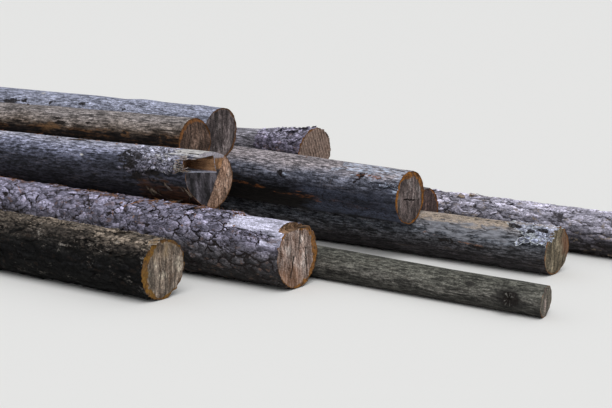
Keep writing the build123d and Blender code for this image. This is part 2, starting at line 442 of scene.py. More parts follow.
def skinRelief(looks, s, angle, radius):
    spot = np.stack([s, radius * np.cos(angle), radius * np.sin(angle)], -1)
    seed, thick, barkLog = looks["seed"], looks["barkThickness"], looks["skin"] == "bark"
    bark = looks["flake"] * layeredNoise(spot * (20, 36, 36), seed + 2, 3)
    wood = woodRelief(looks, spot)
    marks = {key: np.zeros(s.shape) for key in ("stain", "pale", "fresh", "worn", "crack")}
    bare = np.full(s.shape, 0.0 if barkLog else 1.0)
    sunk = np.zeros(s.shape)

    def mark(kind, amount):
        marks[kind] = np.maximum(marks[kind], amount)

    for index, area in enumerate(looks.get("patches", ())):
        inside = insidePatch(area, s, angle, radius, spot, seed + 50 + index)
        kind, cover = area["kind"], smoothStep(-area["soft"], area["soft"], inside)
        if kind == "bare":
            bare = np.maximum(bare, cover)
        elif kind == "bark":
            bare = np.minimum(bare, 1 - cover)
        elif kind != "ledge":
            mark(kind, cover * area["amount"])
        sunk = sunk + cover * area["rise"]
        if "paleRim" in area:
            mark("pale", smoothStep(area["paleRim"], 0, abs(inside - area["paleRim"] / 2)))
    woodLevel, barkLevel = (-thick, 0) if barkLog else (0, thick)
    height = (wood + woodLevel) * bare + (bark + barkLevel) * (1 - bare) + sunk
    for place, turn, size, rise in looks.get("knots", ()):
        away = np.hypot((s - place) * 0.8, turnFrom(angle, turn) * radius) / size
        ripple = 0.0014 * np.cos(away * 9) * np.exp(-((away / 1.8) ** 2))
        height = height + rise * np.exp(-(away**2)) - 0.6 * rise * np.exp(-((away / 0.35) ** 2)) + ripple
        mark("crack", 0.8 * smoothStep(0.75, 0.3, away + 0.5 * layeredNoise(spot * 70, seed + 41, 2)))
    for place, turn, long, wide, kind, amount in looks.get("spots", ()):
        away = np.hypot((s - place) / long, turnFrom(angle, turn) * radius / wide)
        mark(kind, amount * smoothStep(1.4, 0.5, away + 0.35 * layeredNoise(spot * (40, 80, 80), seed + 43, 3)))
    for place, turn, long, wide, rise in looks.get("swellings", ()):
        across = turnFrom(angle, turn) * radius
        height = height + rise * np.exp(-(((s - place) / long) ** 2) - (across / wide) ** 2)
    for index, (start, end, turn, width, depth) in enumerate(looks.get("cracks", ())):
        across = abs(turnFrom(angle, turn) * radius + 0.008 * lineNoise(s, 9, seed + 80 + index))
        line = smoothStep(width + 0.004, 0.001, across) * np.clip(np.minimum(s - start, end - s) / 0.05, 0, 1)
        height = height - depth * line
        mark("crack", line)
    return {"height": height, "bare": bare, **marks}


# A whole log as one closed mesh

markNames = ("bare", "stain", "pale", "fresh", "worn", "crack", "rim", "skin")


def readFloats(mesh, name):
    values = np.zeros(len(mesh.vertices), np.float32)
    mesh.attributes[name].data.foreach_get("value", values)
    return values


def readVectors(mesh, data, field):
    values = np.zeros(3 * len(mesh.vertices), np.float32)
    data.foreach_get(field, values)
    return values.reshape(-1, 3)


def saveMarks(mesh, marks):
    for name, values in marks.items():
        kind, field = ("FLOAT_VECTOR", "vector") if name == "space" else ("FLOAT", "value")
        known = mesh.attributes.get(name) or mesh.attributes.new(name, kind, "POINT")
        known.data.foreach_set(field, np.asarray(values, np.float32).ravel())


def plainMesh(name, places, faces, materials=()):
    mesh = bpy.data.meshes.new(name)
    mesh.from_pydata(np.asarray(places).tolist(), [], faces)
    for material in materials:
        mesh.materials.append(material)
    return mesh


def strip(here, there):
    # the faces between neighbouring rows of two grids of corner numbers
    return np.stack([here[:-1], there[:-1], there[1:], here[1:]], -1).reshape(-1, 4)


def capRelief(looks, side, y, z, rim):
    seed = looks["seed"] + (200 if side > 0 else 300)
    flat = np.stack([y * 0, y, z], -1)
    saw = math.radians(looks["end"].get("sawTurn", endTint["sawTurn"]))
    across = y * math.cos(saw) + z * math.sin(saw)
    height = 0.0005 * np.sin(across / 0.0075 * fullTurn + 2 * layeredNoise(flat * 12, seed))
    height = height + 0.0015 * layeredNoise(flat * 18, seed + 1)
    chipped = smoothStep(0.022, 0, rim) * np.clip(layeredNoise(flat * 26, seed + 2) + 0.1, 0, 1)
    height = height - 0.008 * chipped
    crack = np.zeros(y.shape)
    for k, (cy, cz, turn, long, width, depth) in enumerate(looks.get("endCracks", ()) if side > 0 else ()):
        cos, sin = math.cos(math.radians(turn)), math.sin(math.radians(turn))
        u = (y - cy) * cos + (z - cz) * sin
        v = (z - cz) * cos - (y - cy) * sin + 0.0025 * lineNoise(u, 60, seed + 5 + k)
        line = smoothStep(width + 0.003, 0.0005, abs(v)) * np.clip((long / 2 - abs(u)) / 0.015, 0, 1)
        height, crack = height - depth * line, np.maximum(crack, line)
    return height, crack


def buildLog(node, looks, materials):
    shape = LogShape(node, measureSettings, looks.get("cutBack"))
    columns, rows, *ringCounts = looks["mesh"]
    angle = np.arange(columns) / columns * fullTurn
    step = np.linspace(1, 0, rows)
    share = 1 - (0.6 * step + 0.4 * step**2)   # denser towards the right end, which the photo shows
    edges = {side: shape.edgeX(side, angle) for side in (-1, 1)}
    x = edges[-1] + (edges[1] - edges[-1]) * share[:, None]
    turned = np.broadcast_to(angle, x.shape)
    base = shape.radius(x, turned)
    skin = skinRelief(looks, x - shape.right, turned, base)
    skin["skin"] = np.ones(x.shape)
    reach = base + skin["height"]
    y, z = shape.centre(x)
    places = [np.stack([x, y + reach * np.cos(turned), z + reach * np.sin(turned)], -1).reshape(-1, 3)]
    edgeRows = places[0].reshape(rows, columns, 3)
    for side, row in ((-1, 0), (1, -1)):
        worn = np.clip(layeredNoise(edgeRows[row] * 60, looks["seed"] + 91, 2), -1, 0.2)
        edgeRows[row, :, 0] += side * looks["edgeRough"] * worn
    marks = {name: [skin[name].ravel() if name in skin else np.zeros(x.size)] for name in markNames}
    grid = np.arange(rows * columns).reshape(rows, columns)
    quads, triangles = [strip(grid, np.roll(grid, -1, axis=1))], []
    count = rows * columns
    for side, rings in zip((1, -1), ringCounts):
        rimRing = grid[-1 if side > 0 else 0]
        rimPlace = places[0][rimRing]
        middle = np.array(shape.centre(np.array(shape.axisEnd[side])))
        inward = 1 - np.arange(1, rings) / rings
        flat = middle + (rimPlace[None, :, 1:] - middle) * inward[:, None, None]
        away = np.linalg.norm(rimPlace[:, 1:] - middle, axis=1)
        rim = (1 - inward)[:, None] * away[None, :]
        flat = np.concatenate([flat.reshape(-1, 2), [middle]])
        rim = np.concatenate([rim.ravel(), [away.mean()]])
        relief, crack = capRelief(looks, side, flat[:, 0] - middle[0], flat[:, 1] - middle[1], rim)
        capX = shape.cutX(side, flat[:, 0], flat[:, 1]) + side * relief * smoothStep(0, 0.004, rim)
        places.append(np.stack([capX, flat[:, 0], flat[:, 1]], -1))
        for name in markNames:
            marks[name].append({"rim": rim, "crack": crack}.get(name, np.zeros(len(rim))))
        ladder = np.concatenate([rimRing[None], count + np.arange((rings - 1) * columns).reshape(-1, columns)])
        here, there = (ladder, np.roll(ladder, -1, axis=1))[::side]
        quads.append(strip(here, there))
        count += (rings - 1) * columns + 1
        triangles.append(np.stack([here[-1], there[-1], np.full(columns, count - 1)], -1))
    places = np.concatenate(places)
    faces = [face for group in quads + triangles for face in group.tolist()]
    mesh = plainMesh(node + "_looks", places, faces, materials)
    kinds = np.ones(len(faces), np.int32)
    kinds[:len(quads[0])] = 0
    mesh.polygons.foreach_set("material_index", kinds)
    saveMarks(mesh, {"space": shape.local(places)[0], **{name: np.concatenate(marks[name]) for name in markNames}})
    return inScene(node + "_looks", mesh), shape


# Bark plates: one pattern of cells, both for the relief and for the colours


def barkPattern(r, space, looks):
    wander = r.vector("SUBTRACT", r.noise(space, (13, 17, 17), 3, output=1), (0.5, 0.5, 0.5))
    moved = r.vector("ADD", space, r.vector("MULTIPLY", wander, looks["wander"]))
    pattern = {}
    for name, share in (("chip", 2.4), ("plate", 1.0)):
        placed = r.placed(moved, tuple(share / length for length in looks["plateSize"]))
        pattern[name + "Edge"] = r.cells(placed, "DISTANCE_TO_EDGE", "Distance")
        pattern[name + "Tone"] = r.axis(r.cells(placed, "F1", "Color"))
    lean = r.vector("SUBTRACT", placed, r.cells(placed, "F1", "Position"))
    pattern["plateLean"] = r.axis(lean) * 0.5 + r.axis(lean, "Z") * 0.9
    pattern["open"] = r.band(r.noise(space, (11, 16, 16), 3), 0.44, 0.62)
    return pattern


def raiseBark(piece, looks):
    sizes = {"Fissure Depth": looks["fissureDepth"], "Plate Step": looks["plateStep"], "Chip Step": looks["chip"]}
    r = Growth("barkRelief", sizes, looks["seed"])
    space = r.attribute("space", "FLOAT_VECTOR")
    p = barkPattern(r, space, looks)
    plate = r.band(p["plateEdge"], 0.01, 0.14)
    height = (plate - 1) * (p["open"] * 0.7 + 0.3) * r.size("Fissure Depth")
    height = height + (p["plateTone"] - 0.5 + p["plateLean"] * 0.8) * plate * (2 * r.size("Plate Step"))
    chip = (r.band(p["chipEdge"], 0.01, 0.16) - 1) * 0.6 + (p["chipTone"] - 0.5) * 1.6
    height = (height + chip * r.size("Chip Step")) * (1 - r.attribute("bare")) * r.attribute("skin")
    outward = r.vector("NORMALIZE", r.vector("MULTIPLY", space, (0, 1, 1)), (0, 0, 0))
    offset = r.node("VectorMath", {"operation": "SCALE"}, {0: outward, "Scale": height})
    sockets = {"Geometry": r.size("Geometry"), "Offset": offset}
    piece.data = r.grow(piece, r.node("GeometryNodeSetPosition", None, sockets))
    piece.data.name = piece.name


# Cuts in a log's end, taken out with a rough block


def roughBlock(corners, counts, rough, scale, seed):
    # eight corners with z fastest; the six sides are divided and roughened together, so that they stay closed
    corners = np.array(corners, float).reshape(2, 2, 2, 3)
    size = np.array(counts) + 1
    lattices = np.stack(np.meshgrid(*[np.arange(n) for n in size], indexing="ij"), -1)
    outer = ((lattices == 0) | (lattices == size - 1)).any(-1)
    number = np.full(size, -1)
    number[outer] = np.arange(outer.sum())
    share = lattices[outer] / np.array(counts)
    places = 0
    for corner in itertools.product((0, 1), repeat=3):
        weight = np.prod(np.where(corner, share, 1 - share), axis=-1)
        places = places + weight[:, None] * corners[corner]
    shake = np.stack([layeredNoise(places * scale, seed + 11 * k) for k in range(3)], -1)
    faces = []
    for axis in range(3):
        ordered = np.moveaxis(number, axis, 0)
        if axis == 1:
            ordered = np.swapaxes(ordered, 1, 2)
        for layer, turn in ((ordered[-1], 1), (ordered[0], -1)):
            quad = [layer[:-1, :-1], layer[1:, :-1], layer[1:, 1:], layer[:-1, 1:]][::turn]
            faces.append(np.stack(quad, -1).reshape(-1, 4))
    return places + rough * shake, np.concatenate(faces)


def cutWith(piece, places, faces, kind, cutMarks):
    # known and inside tell later which places come from the log, from the block and from the seam
    mesh = plainMesh("cutter", places, faces.tolist(), piece.data.materials)
    mesh.polygons.foreach_set("material_index", np.full(len(faces), kind, np.int32))
    marks = {name: np.zeros(len(places)) for name in markNames}
    ones = np.ones(len(places))
    saveMarks(mesh, {"space": places * 0, **marks, "known": ones, "inside": ones, **cutMarks})
    if "known" not in piece.data.attributes:
        plain = np.zeros(len(piece.data.vertices))
        saveMarks(piece.data, {"known": plain + 1, "inside": plain})
    cutter = inScene("cutter", mesh)
    modifier = piece.modifiers.new("cut", "BOOLEAN")
    modifier.object, modifier.operation, modifier.solver = cutter, "DIFFERENCE", "MANIFOLD"
    name = piece.data.name
    piece.data = evaluatedMesh(piece)
    piece.data.name = name
    bpy.data.objects.remove(cutter)


def settleMarks(piece, shape, looks):
    # the seams of a cut get the marks of the skin there, and every place its own spot on the log
    mesh = piece.data
    space, angle, radius = shape.local(readVectors(mesh, mesh.vertices, "co").astype(float))
    known, inside = readFloats(mesh, "known") > 0.5, readFloats(mesh, "inside") > 0.5
    before = readVectors(mesh, mesh.attributes["space"].data, "vector")
    skin = skinRelief(looks, space[:, 0], angle, radius)
    skin["rim"] = np.clip(radius - np.hypot(space[:, 1], space[:, 2]), 0, None)
    for name in markNames:
        if name in skin:
            fresh = inside | ~known if name == "rim" else ~known
            saveMarks(mesh, {name: np.where(fresh, skin[name], readFloats(mesh, name))})
    saveMarks(mesh, {"space": np.where((known & ~inside)[:, None], before, space)})
    for name in ("known", "inside"):
        mesh.attributes.remove(mesh.attributes[name])


def dress(piece, node):
    piece.data.shade_smooth()
    piece.data.set_sharp_from_angle(angle=math.radians(50))
    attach(piece, "root")
    if node:
        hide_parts(node)


# Materials of the skin, of the sawn ends and of the cuts. Tones run from underneath, -1, to the top, 1, and the
# darker undersides are painted shade

skinTint = dict(
    woodTonesAndShade=[
        (-0.5, (0.02, 0.016, 0.014)), (0.0, (0.05, 0.045, 0.045)), (0.45, (0.16, 0.155, 0.18)),
        (0.9, (0.3, 0.29, 0.32)),
    ],
    barkTonesAndShade=[
        (-0.5, (0.02, 0.016, 0.015)), (0.0, (0.08, 0.07, 0.075)), (0.5, (0.19, 0.175, 0.215)),
        (0.9, (0.26, 0.24, 0.3)),
    ],
    shine=0.25, cloudiness=0.5, dashes=1.0, streaks=0.7, checks=0.5, specks=0.25, scuffs=0.0,
    dark=(0.02, 0.016, 0.014), streakColor=(0.06, 0.045, 0.036), rust=(0.17, 0.062, 0.02), rustAmount=0.0,
    rustLevel=(0.1, -0.3), rustFrom=0.5, barkRed=(0.2, 0.115, 0.08), redAmount=0.45,
    lichen=(0.42, 0.41, 0.47), lichenAmount=0.4, fissureColor=(0.018, 0.013, 0.013), fissures=1.0,
    fissureWidth=0.025, mottle=0.55, stainColor=(0.06, 0.032, 0.018), paleColor=(0.6, 0.58, 0.57),
    freshColor=(0.34, 0.24, 0.15), wornAndShadeColor=(0.3, 0.3, 0.34),
    crackColor=(0.01, 0.007, 0.006))

endTint = dict(
    heart=(0.17, 0.13, 0.115), heartDark=(0.075, 0.055, 0.05), heartLight=(0.27, 0.215, 0.19),
    rimColor=(0.27, 0.12, 0.042), rimDark=(0.085, 0.038, 0.012), rimWidth=0.016, rimSide=150.0, rimLean=0.5,
    ringWidth=0.009, ringAmount=0.3, sawTurn=70.0, sawAmount=0.1, sawStep=0.011, sawWobble=9.0,
    streakAmount=0.8, blotch=0.8, checks=0.6, stainSide=200.0, stainFrom=2.0, stainColor=(0.12, 0.05, 0.02),
    checkColor=(0.02, 0.014, 0.011), crackColor=(0.014, 0.01, 0.008))

cutTint = dict(
    base=(0.06, 0.055, 0.062), dark=(0.02, 0.018, 0.018), light=(0.13, 0.125, 0.14),
    stain=(0.03, 0.017, 0.01), pale=(0.36, 0.38, 0.46), rimColor=(0.16, 0.08, 0.035), rimWidth=0.008,
    along=(70, 110, 9))

barkBase = dict(
    skin="bark", barkThickness=0.008, plateSize=(0.07, 0.044, 0.044), wander=(0.09, 0.055, 0.055),
    fissureDepth=0.006, plateStep=0.0028, chip=0.0018, flake=0.0012, swell=0.002, dent=0.002, grain=0.0008,
    edgeRough=0.006, slot="bark", end=dict())

woodBase = dict(
    skin="bare", barkThickness=0.005, plateSize=(0.032, 0.018, 0.018), wander=(0.06, 0.04, 0.04),
    fissureDepth=0.005, plateStep=0.003, chip=0.003, flake=0.002, swell=0.003, dent=0.004, grain=0.0011,
    edgeRough=0.003, slot="bare_wood", end=dict())

def skinMaterial(name, looks):
    tint = {**skinTint, **looks["tint"]}
    r = Recipe(name, looks["seed"])
    space = r.attribute("space", "Vector")
    bare, stain, pale, fresh, worn, crack = (r.attribute(key) for key in markNames[:6])
    # painted shade: the skin's tones follow how far up each place faces, dark underneath and light on top
    up = r.axis(space, "Z") / r.vector("MULTIPLY", space, (0, 1, 1)).spread()
    cloud = r.noise(space, (2.6, 6, 6), 5)
    patchy = r.noise(space, (10, 20, 20), 6, 0.7)
    dash = r.noise(space, (24, 110, 110), 4, 0.65)
    grain = r.noise(space, (6, 170, 170), 4, 0.65)
    speck = r.noise(space, (110, 190, 190), 3, 0.7)
    fleck = r.noise(space, (50, 75, 75), 4, 0.7)
    level = up + (cloud - 0.5) * (2 * tint["cloudiness"]) + (patchy - 0.5) * (1.4 * tint["cloudiness"])
    level = level + (grain - 0.5) * 0.25

    shade = r.band(dash, 0.36, 0.64, 1 - 0.62 * tint["dashes"], 1 + 0.6 * tint["dashes"])
    shade = shade * r.band(grain, 0.36, 0.64, 1 - 0.4 * tint["streaks"], 1 + 0.35 * tint["streaks"])
    shade = shade * r.uneven(speck, 0.38, 0.16) * r.uneven(fleck, 0.2)
    wood = r.shaded(r.ramp(level, tint["woodTonesAndShade"]), shade * r.uneven(patchy, 0.4, 0.16))
    streak = r.band(grain + (patchy - 0.5) * 0.8, 0.62, 0.7)
    wood = r.mix(streak * 0.7 * tint["streaks"], wood, tint["streakColor"])
    wood = r.mix(r.band(fleck + (patchy - 0.5) * 0.8, 0.66, 0.72) * tint["specks"], wood, tint["dark"])
    seam = r.noise(space, (1.5, 34, 34), 3, 0.5)
    check = r.band(abs(seam - 0.5), 0.014, 0.004) * r.band(cloud, 0.42, 0.54)
    wood = r.mix(check * tint["checks"], wood, tint["dark"])
    scuff = r.band(r.noise(space, (140, 4, 4), 2), 0.56, 0.64) * r.band(r.noise(space, (4.5, 5, 5), 2), 0.5, 0.58)
    wood = r.mix(scuff * r.band(up, -0.05, 0.35) * (0.35 * tint["scuffs"]), wood, tint["woodTonesAndShade"][-1][1])
    rust = r.band(r.noise(space, (2.2, 26, 26), 5, 0.65), tint["rustFrom"], tint["rustFrom"] + 0.1)
    rust = rust * r.band(up, *tint["rustLevel"]) * r.band(cloud, 0.42, 0.55) * tint["rustAmount"]
    wood = r.mix(rust, wood, r.shaded(tint["rust"], shade))

    p = barkPattern(r, space, looks)
    shade = r.uneven(p["plateTone"], 0.34, 0.5) * r.uneven(p["chipTone"], 0.3, 0.5)
    # painted shade: each bark plate is painted lighter towards its upper side and darker towards its lower side
    shade = shade * r.band(p["plateLean"], -0.45, 0.45, 0.66, 1.34)
    shade = shade * r.uneven(fleck, tint["mottle"]) * r.uneven(speck, 0.3, 0.16) * r.uneven(dash, 0.2)
    bark = r.shaded(r.ramp(level, tint["barkTonesAndShade"]), shade)
    redPlace = r.band(r.noise(space, (22, 34, 34), 4, 0.65), 0.56, 0.66)
    bark = r.mix(redPlace * tint["redAmount"], bark, tint["barkRed"])
    lichenPlace = r.band(patchy + (speck - 0.5) * 0.5, 0.6, 0.7) * r.band(up, -0.3, 0.5, 0.3, 1.0)
    bark = r.mix(lichenPlace * tint["lichenAmount"], bark, tint["lichen"])
    finePlace = r.band(p["chipEdge"] + (speck - 0.5) * 0.06, 0.06, 0.012) * r.band(patchy, 0.4, 0.58)
    bark = r.mix(finePlace * 0.8 * tint["fissures"], bark, tint["fissureColor"])
    openWidth = p["open"] * 0.05 + tint["fissureWidth"]
    fissure = r.band((p["plateEdge"] + (fleck - 0.5) * 0.16) / openWidth, 1.0, 0.3)
    bark = r.mix(fissure * (p["open"] * 0.6 + 0.32) * tint["fissures"], bark, tint["fissureColor"])

    color = r.mix(r.band(bare + (speck - 0.5) * 0.5, 0.4, 0.6), bark, wood)
    # worn paints smooth worn wood, and on long_upper_log it paints shade underneath
    place = r.band(worn + (patchy - 0.5) * 1.2 + (dash - 0.5) * 0.6, 0.3, 0.7) * r.band(grain, 0.34, 0.5, 0.6, 0.95)
    color = r.mix(place, color, r.shaded(tint["wornAndShadeColor"], r.uneven(dash, 0.4)))
    place = fresh * r.band(dash, 0.35, 0.6, 0.55, 1.0) * r.band(fleck, 0.62, 0.5, 0.3, 1.0)
    color = r.mix(place, color, r.shaded(tint["freshColor"], r.uneven(speck, 0.4, 0.16)))
    place = r.band(stain + (patchy - 0.5) * 1.0 + (dash - 0.5) * 1.4, 0.3, 0.85)
    place = place * r.band(grain, 0.34, 0.6, 0.6, 1.0)
    color = r.mix(place, color, r.shaded(tint["stainColor"], r.uneven(dash, 0.6)))
    place = r.band(pale + (fleck - 0.5) * 1.1 + (dash - 0.5) * 0.7, 0.3, 0.8)
    color = r.mix(place, color, r.shaded(tint["paleColor"], r.band(dash, 0.36, 0.64, 0.6, 1.2)))
    crackPlace = r.band(crack + (fleck - 0.5) * 1.8 + (speck - 0.5) * 0.9, 0.4, 0.6)
    color = r.mix(crackPlace * r.band(speck, 0.36, 0.6, 0.8, 1.0), color, tint["crackColor"])
    bump = (dash * 0.5 + grain * 0.6 + speck * 0.3 - check * 0.6 - crackPlace * 0.5) * bare
    rough = fleck * 0.7 + speck * 0.4 + p["chipTone"] * 0.4 - finePlace * 0.4 - fissure * 0.8
    return r.finish(color, r.band(stain, 0, 1, 0.9, 0.6), bump + rough * (1 - bare), 0.005, 0.9, tint["shine"])


def endMaterial(name, looks):
    tint = {**endTint, **looks["end"]}
    r = Recipe(name, looks["seed"] + 3)
    space = r.attribute("space", "Vector")
    rim, crack = r.attribute("rim"), r.attribute("crack")
    across = r.vector("MULTIPLY", space, (0, 1, 1))
    away = across.spread()
    y, z = r.axis(space, "Y"), r.axis(space, "Z")

    def toward(turn):
        return y * math.cos(math.radians(turn)) + z * math.sin(math.radians(turn))

    wobble = r.noise(across, (0, 9, 9), 3, 0.5)
    rings = (away + (wobble - 0.5) * 0.03) * (fullTurn / tint["ringWidth"]) + r.noise(across, (0, 20, 20), 2) * 4
    rings = rings.wave()
    streak = r.noise(across, (0, 80, 9), 4, 0.62)
    wide = r.noise(across, (0, 38, 6), 3, 0.6)
    blotch = r.noise(across, (0, 15, 11), 5, 0.62)
    fine = r.noise(across, (0, 160, 90), 3)
    sawLine = toward(tint["sawTurn"]) * (fullTurn / tint["sawStep"]) + wobble * tint["sawWobble"] + fine * 1.5
    sawLine = sawLine.wave()
    color = r.mix(r.band(streak, 0.44, 0.66) * tint["streakAmount"], tint["heart"], tint["heartDark"])
    color = r.mix(r.band(blotch, 0.52, 0.62) * tint["blotch"], color, tint["heartLight"])
    color = r.mix(r.band(blotch, 0.46, 0.36) * tint["blotch"], color, tint["heartDark"])
    color = r.shaded(color, r.uneven(wide, 0.5 * tint["streakAmount"]))
    color = r.shaded(color, r.uneven(r.noise(across, (0, 130, 30), 4, 0.7), 0.3))
    seam = r.noise(across, (0, 24, 4), 3, 0.5)
    check = r.band(abs(seam - 0.5), 0.016, 0.005) * r.band(blotch, 0.4, 0.5)
    color = r.mix(check * tint["checks"], color, tint["checkColor"])
    color = r.shaded(color, r.band(rings, -1, 1, 1 - tint["ringAmount"], 1 + tint["ringAmount"]))
    color = r.mix(r.band(sawLine, 0.1, 0.9) * tint["sawAmount"], color, tint["heartLight"])
    color = r.shaded(color, r.uneven(fine, 0.4, 0.16))
    stained = toward(tint["stainSide"]) / away.most(0.02) + (blotch - 0.5) * 2.4 + (streak - 0.5) * 0.8
    stained = r.band(stained, tint["stainFrom"], tint["stainFrom"] + 0.6) * r.band(away, 0.03, 0.08) * 0.7
    color = r.mix(stained, color, r.shaded(tint["stainColor"], r.band(streak, 0.4, 0.6, 1.3, 0.6)))
    width = (toward(tint["rimSide"]) / away.most(0.02) * tint["rimLean"] + 1) * tint["rimWidth"]
    rimPlace = r.band((rim + (fine - 0.5) * 0.004) / (width * r.band(blotch, 0.32, 0.68, 0.35, 1.5)), 1.1, 0.8)
    rimColor = r.mix(r.band(r.noise(across, (0, 40, 40), 4), 0.42, 0.64), tint["rimColor"], tint["rimDark"])
    color = r.mix(rimPlace * 0.92, color, r.shaded(rimColor, r.uneven(fine, 0.35, 0.2)))
    color = r.mix(r.band(rim, 0.005, 0.001) * 0.6, color, tint["rimDark"])
    color = r.mix(r.band(crack, 0.15, 0.8), color, tint["crackColor"])
    bump = rings * 0.1 + streak * 0.4 + sawLine * 0.12 + fine * 0.3 - check * 0.5
    return r.finish(color, r.band(blotch, 0, 1, 0.8, 0.95), bump, 0.002, 0.8)


def cutMaterial(name, looks, seed):
    tint = {**cutTint, **looks}
    r = Recipe(name, seed)
    space = r.attribute("space", "Vector")
    rim, stain, pale = (r.attribute(key) for key in ("rim", "stain", "pale"))
    streak = r.noise(space, tint["along"], 5, 0.66)
    blotch = r.noise(space, (14, 16, 12), 4)
    fine = r.noise(space, (150, 150, 150), 3)
    color = r.mix(r.band(streak + (blotch - 0.5) * 0.4, 0.5, 0.64), tint["base"], tint["light"])
    color = r.mix(r.band(streak + (blotch - 0.5) * 0.5, 0.48, 0.36), color, tint["dark"])
    stainColor = r.shaded(tint["stain"], r.uneven(streak, 0.5, 0.12))
    color = r.mix(stain * r.band(blotch, 0.3, 0.6, 0.8, 1.0), color, stainColor)
    color = r.mix(pale * r.band(streak, 0.35, 0.6, 0.6, 1.0), color, tint["pale"])
    rimPlace = r.band(rim + (fine - 0.5) * 0.006, tint["rimWidth"], 0.4 * tint["rimWidth"]) * 0.8
    color = r.shaded(r.mix(rimPlace, color, tint["rimColor"]), r.uneven(fine, 0.3, 0.2))
    return r.finish(color, r.band(blotch, 0, 1, 0.7, 0.92), streak + fine * 0.4, 0.003, 0.9)


def looseMaterial(name, light, dark, seed):
    r = Recipe(name, seed)
    fine = r.noise(r.node("TexCoord", None, None, "Object"), (180, 180, 180), 3)
    color = r.mix(r.band(r.attribute("own") + (fine - 0.5) * 0.6, 0.1, 0.9), dark, light)
    return r.finish(color, r.band(fine, 0, 1, 0.75, 0.95), fine, 0.001, 0.7)


# What each log looks like. Spans run along it in metres from its right end, angles go round it from 0 at the
# back over 90 on top to 180 in front. mesh: places round and along the log, rings of its right and left end.
# knots: place, angle, size, height. spots: place, angle, length, width, kind, amount. swellings: place, angle,
# length, width, height. cracks: start, end, angle, width, depth. endCracks: y, z, turn, length, width, depth

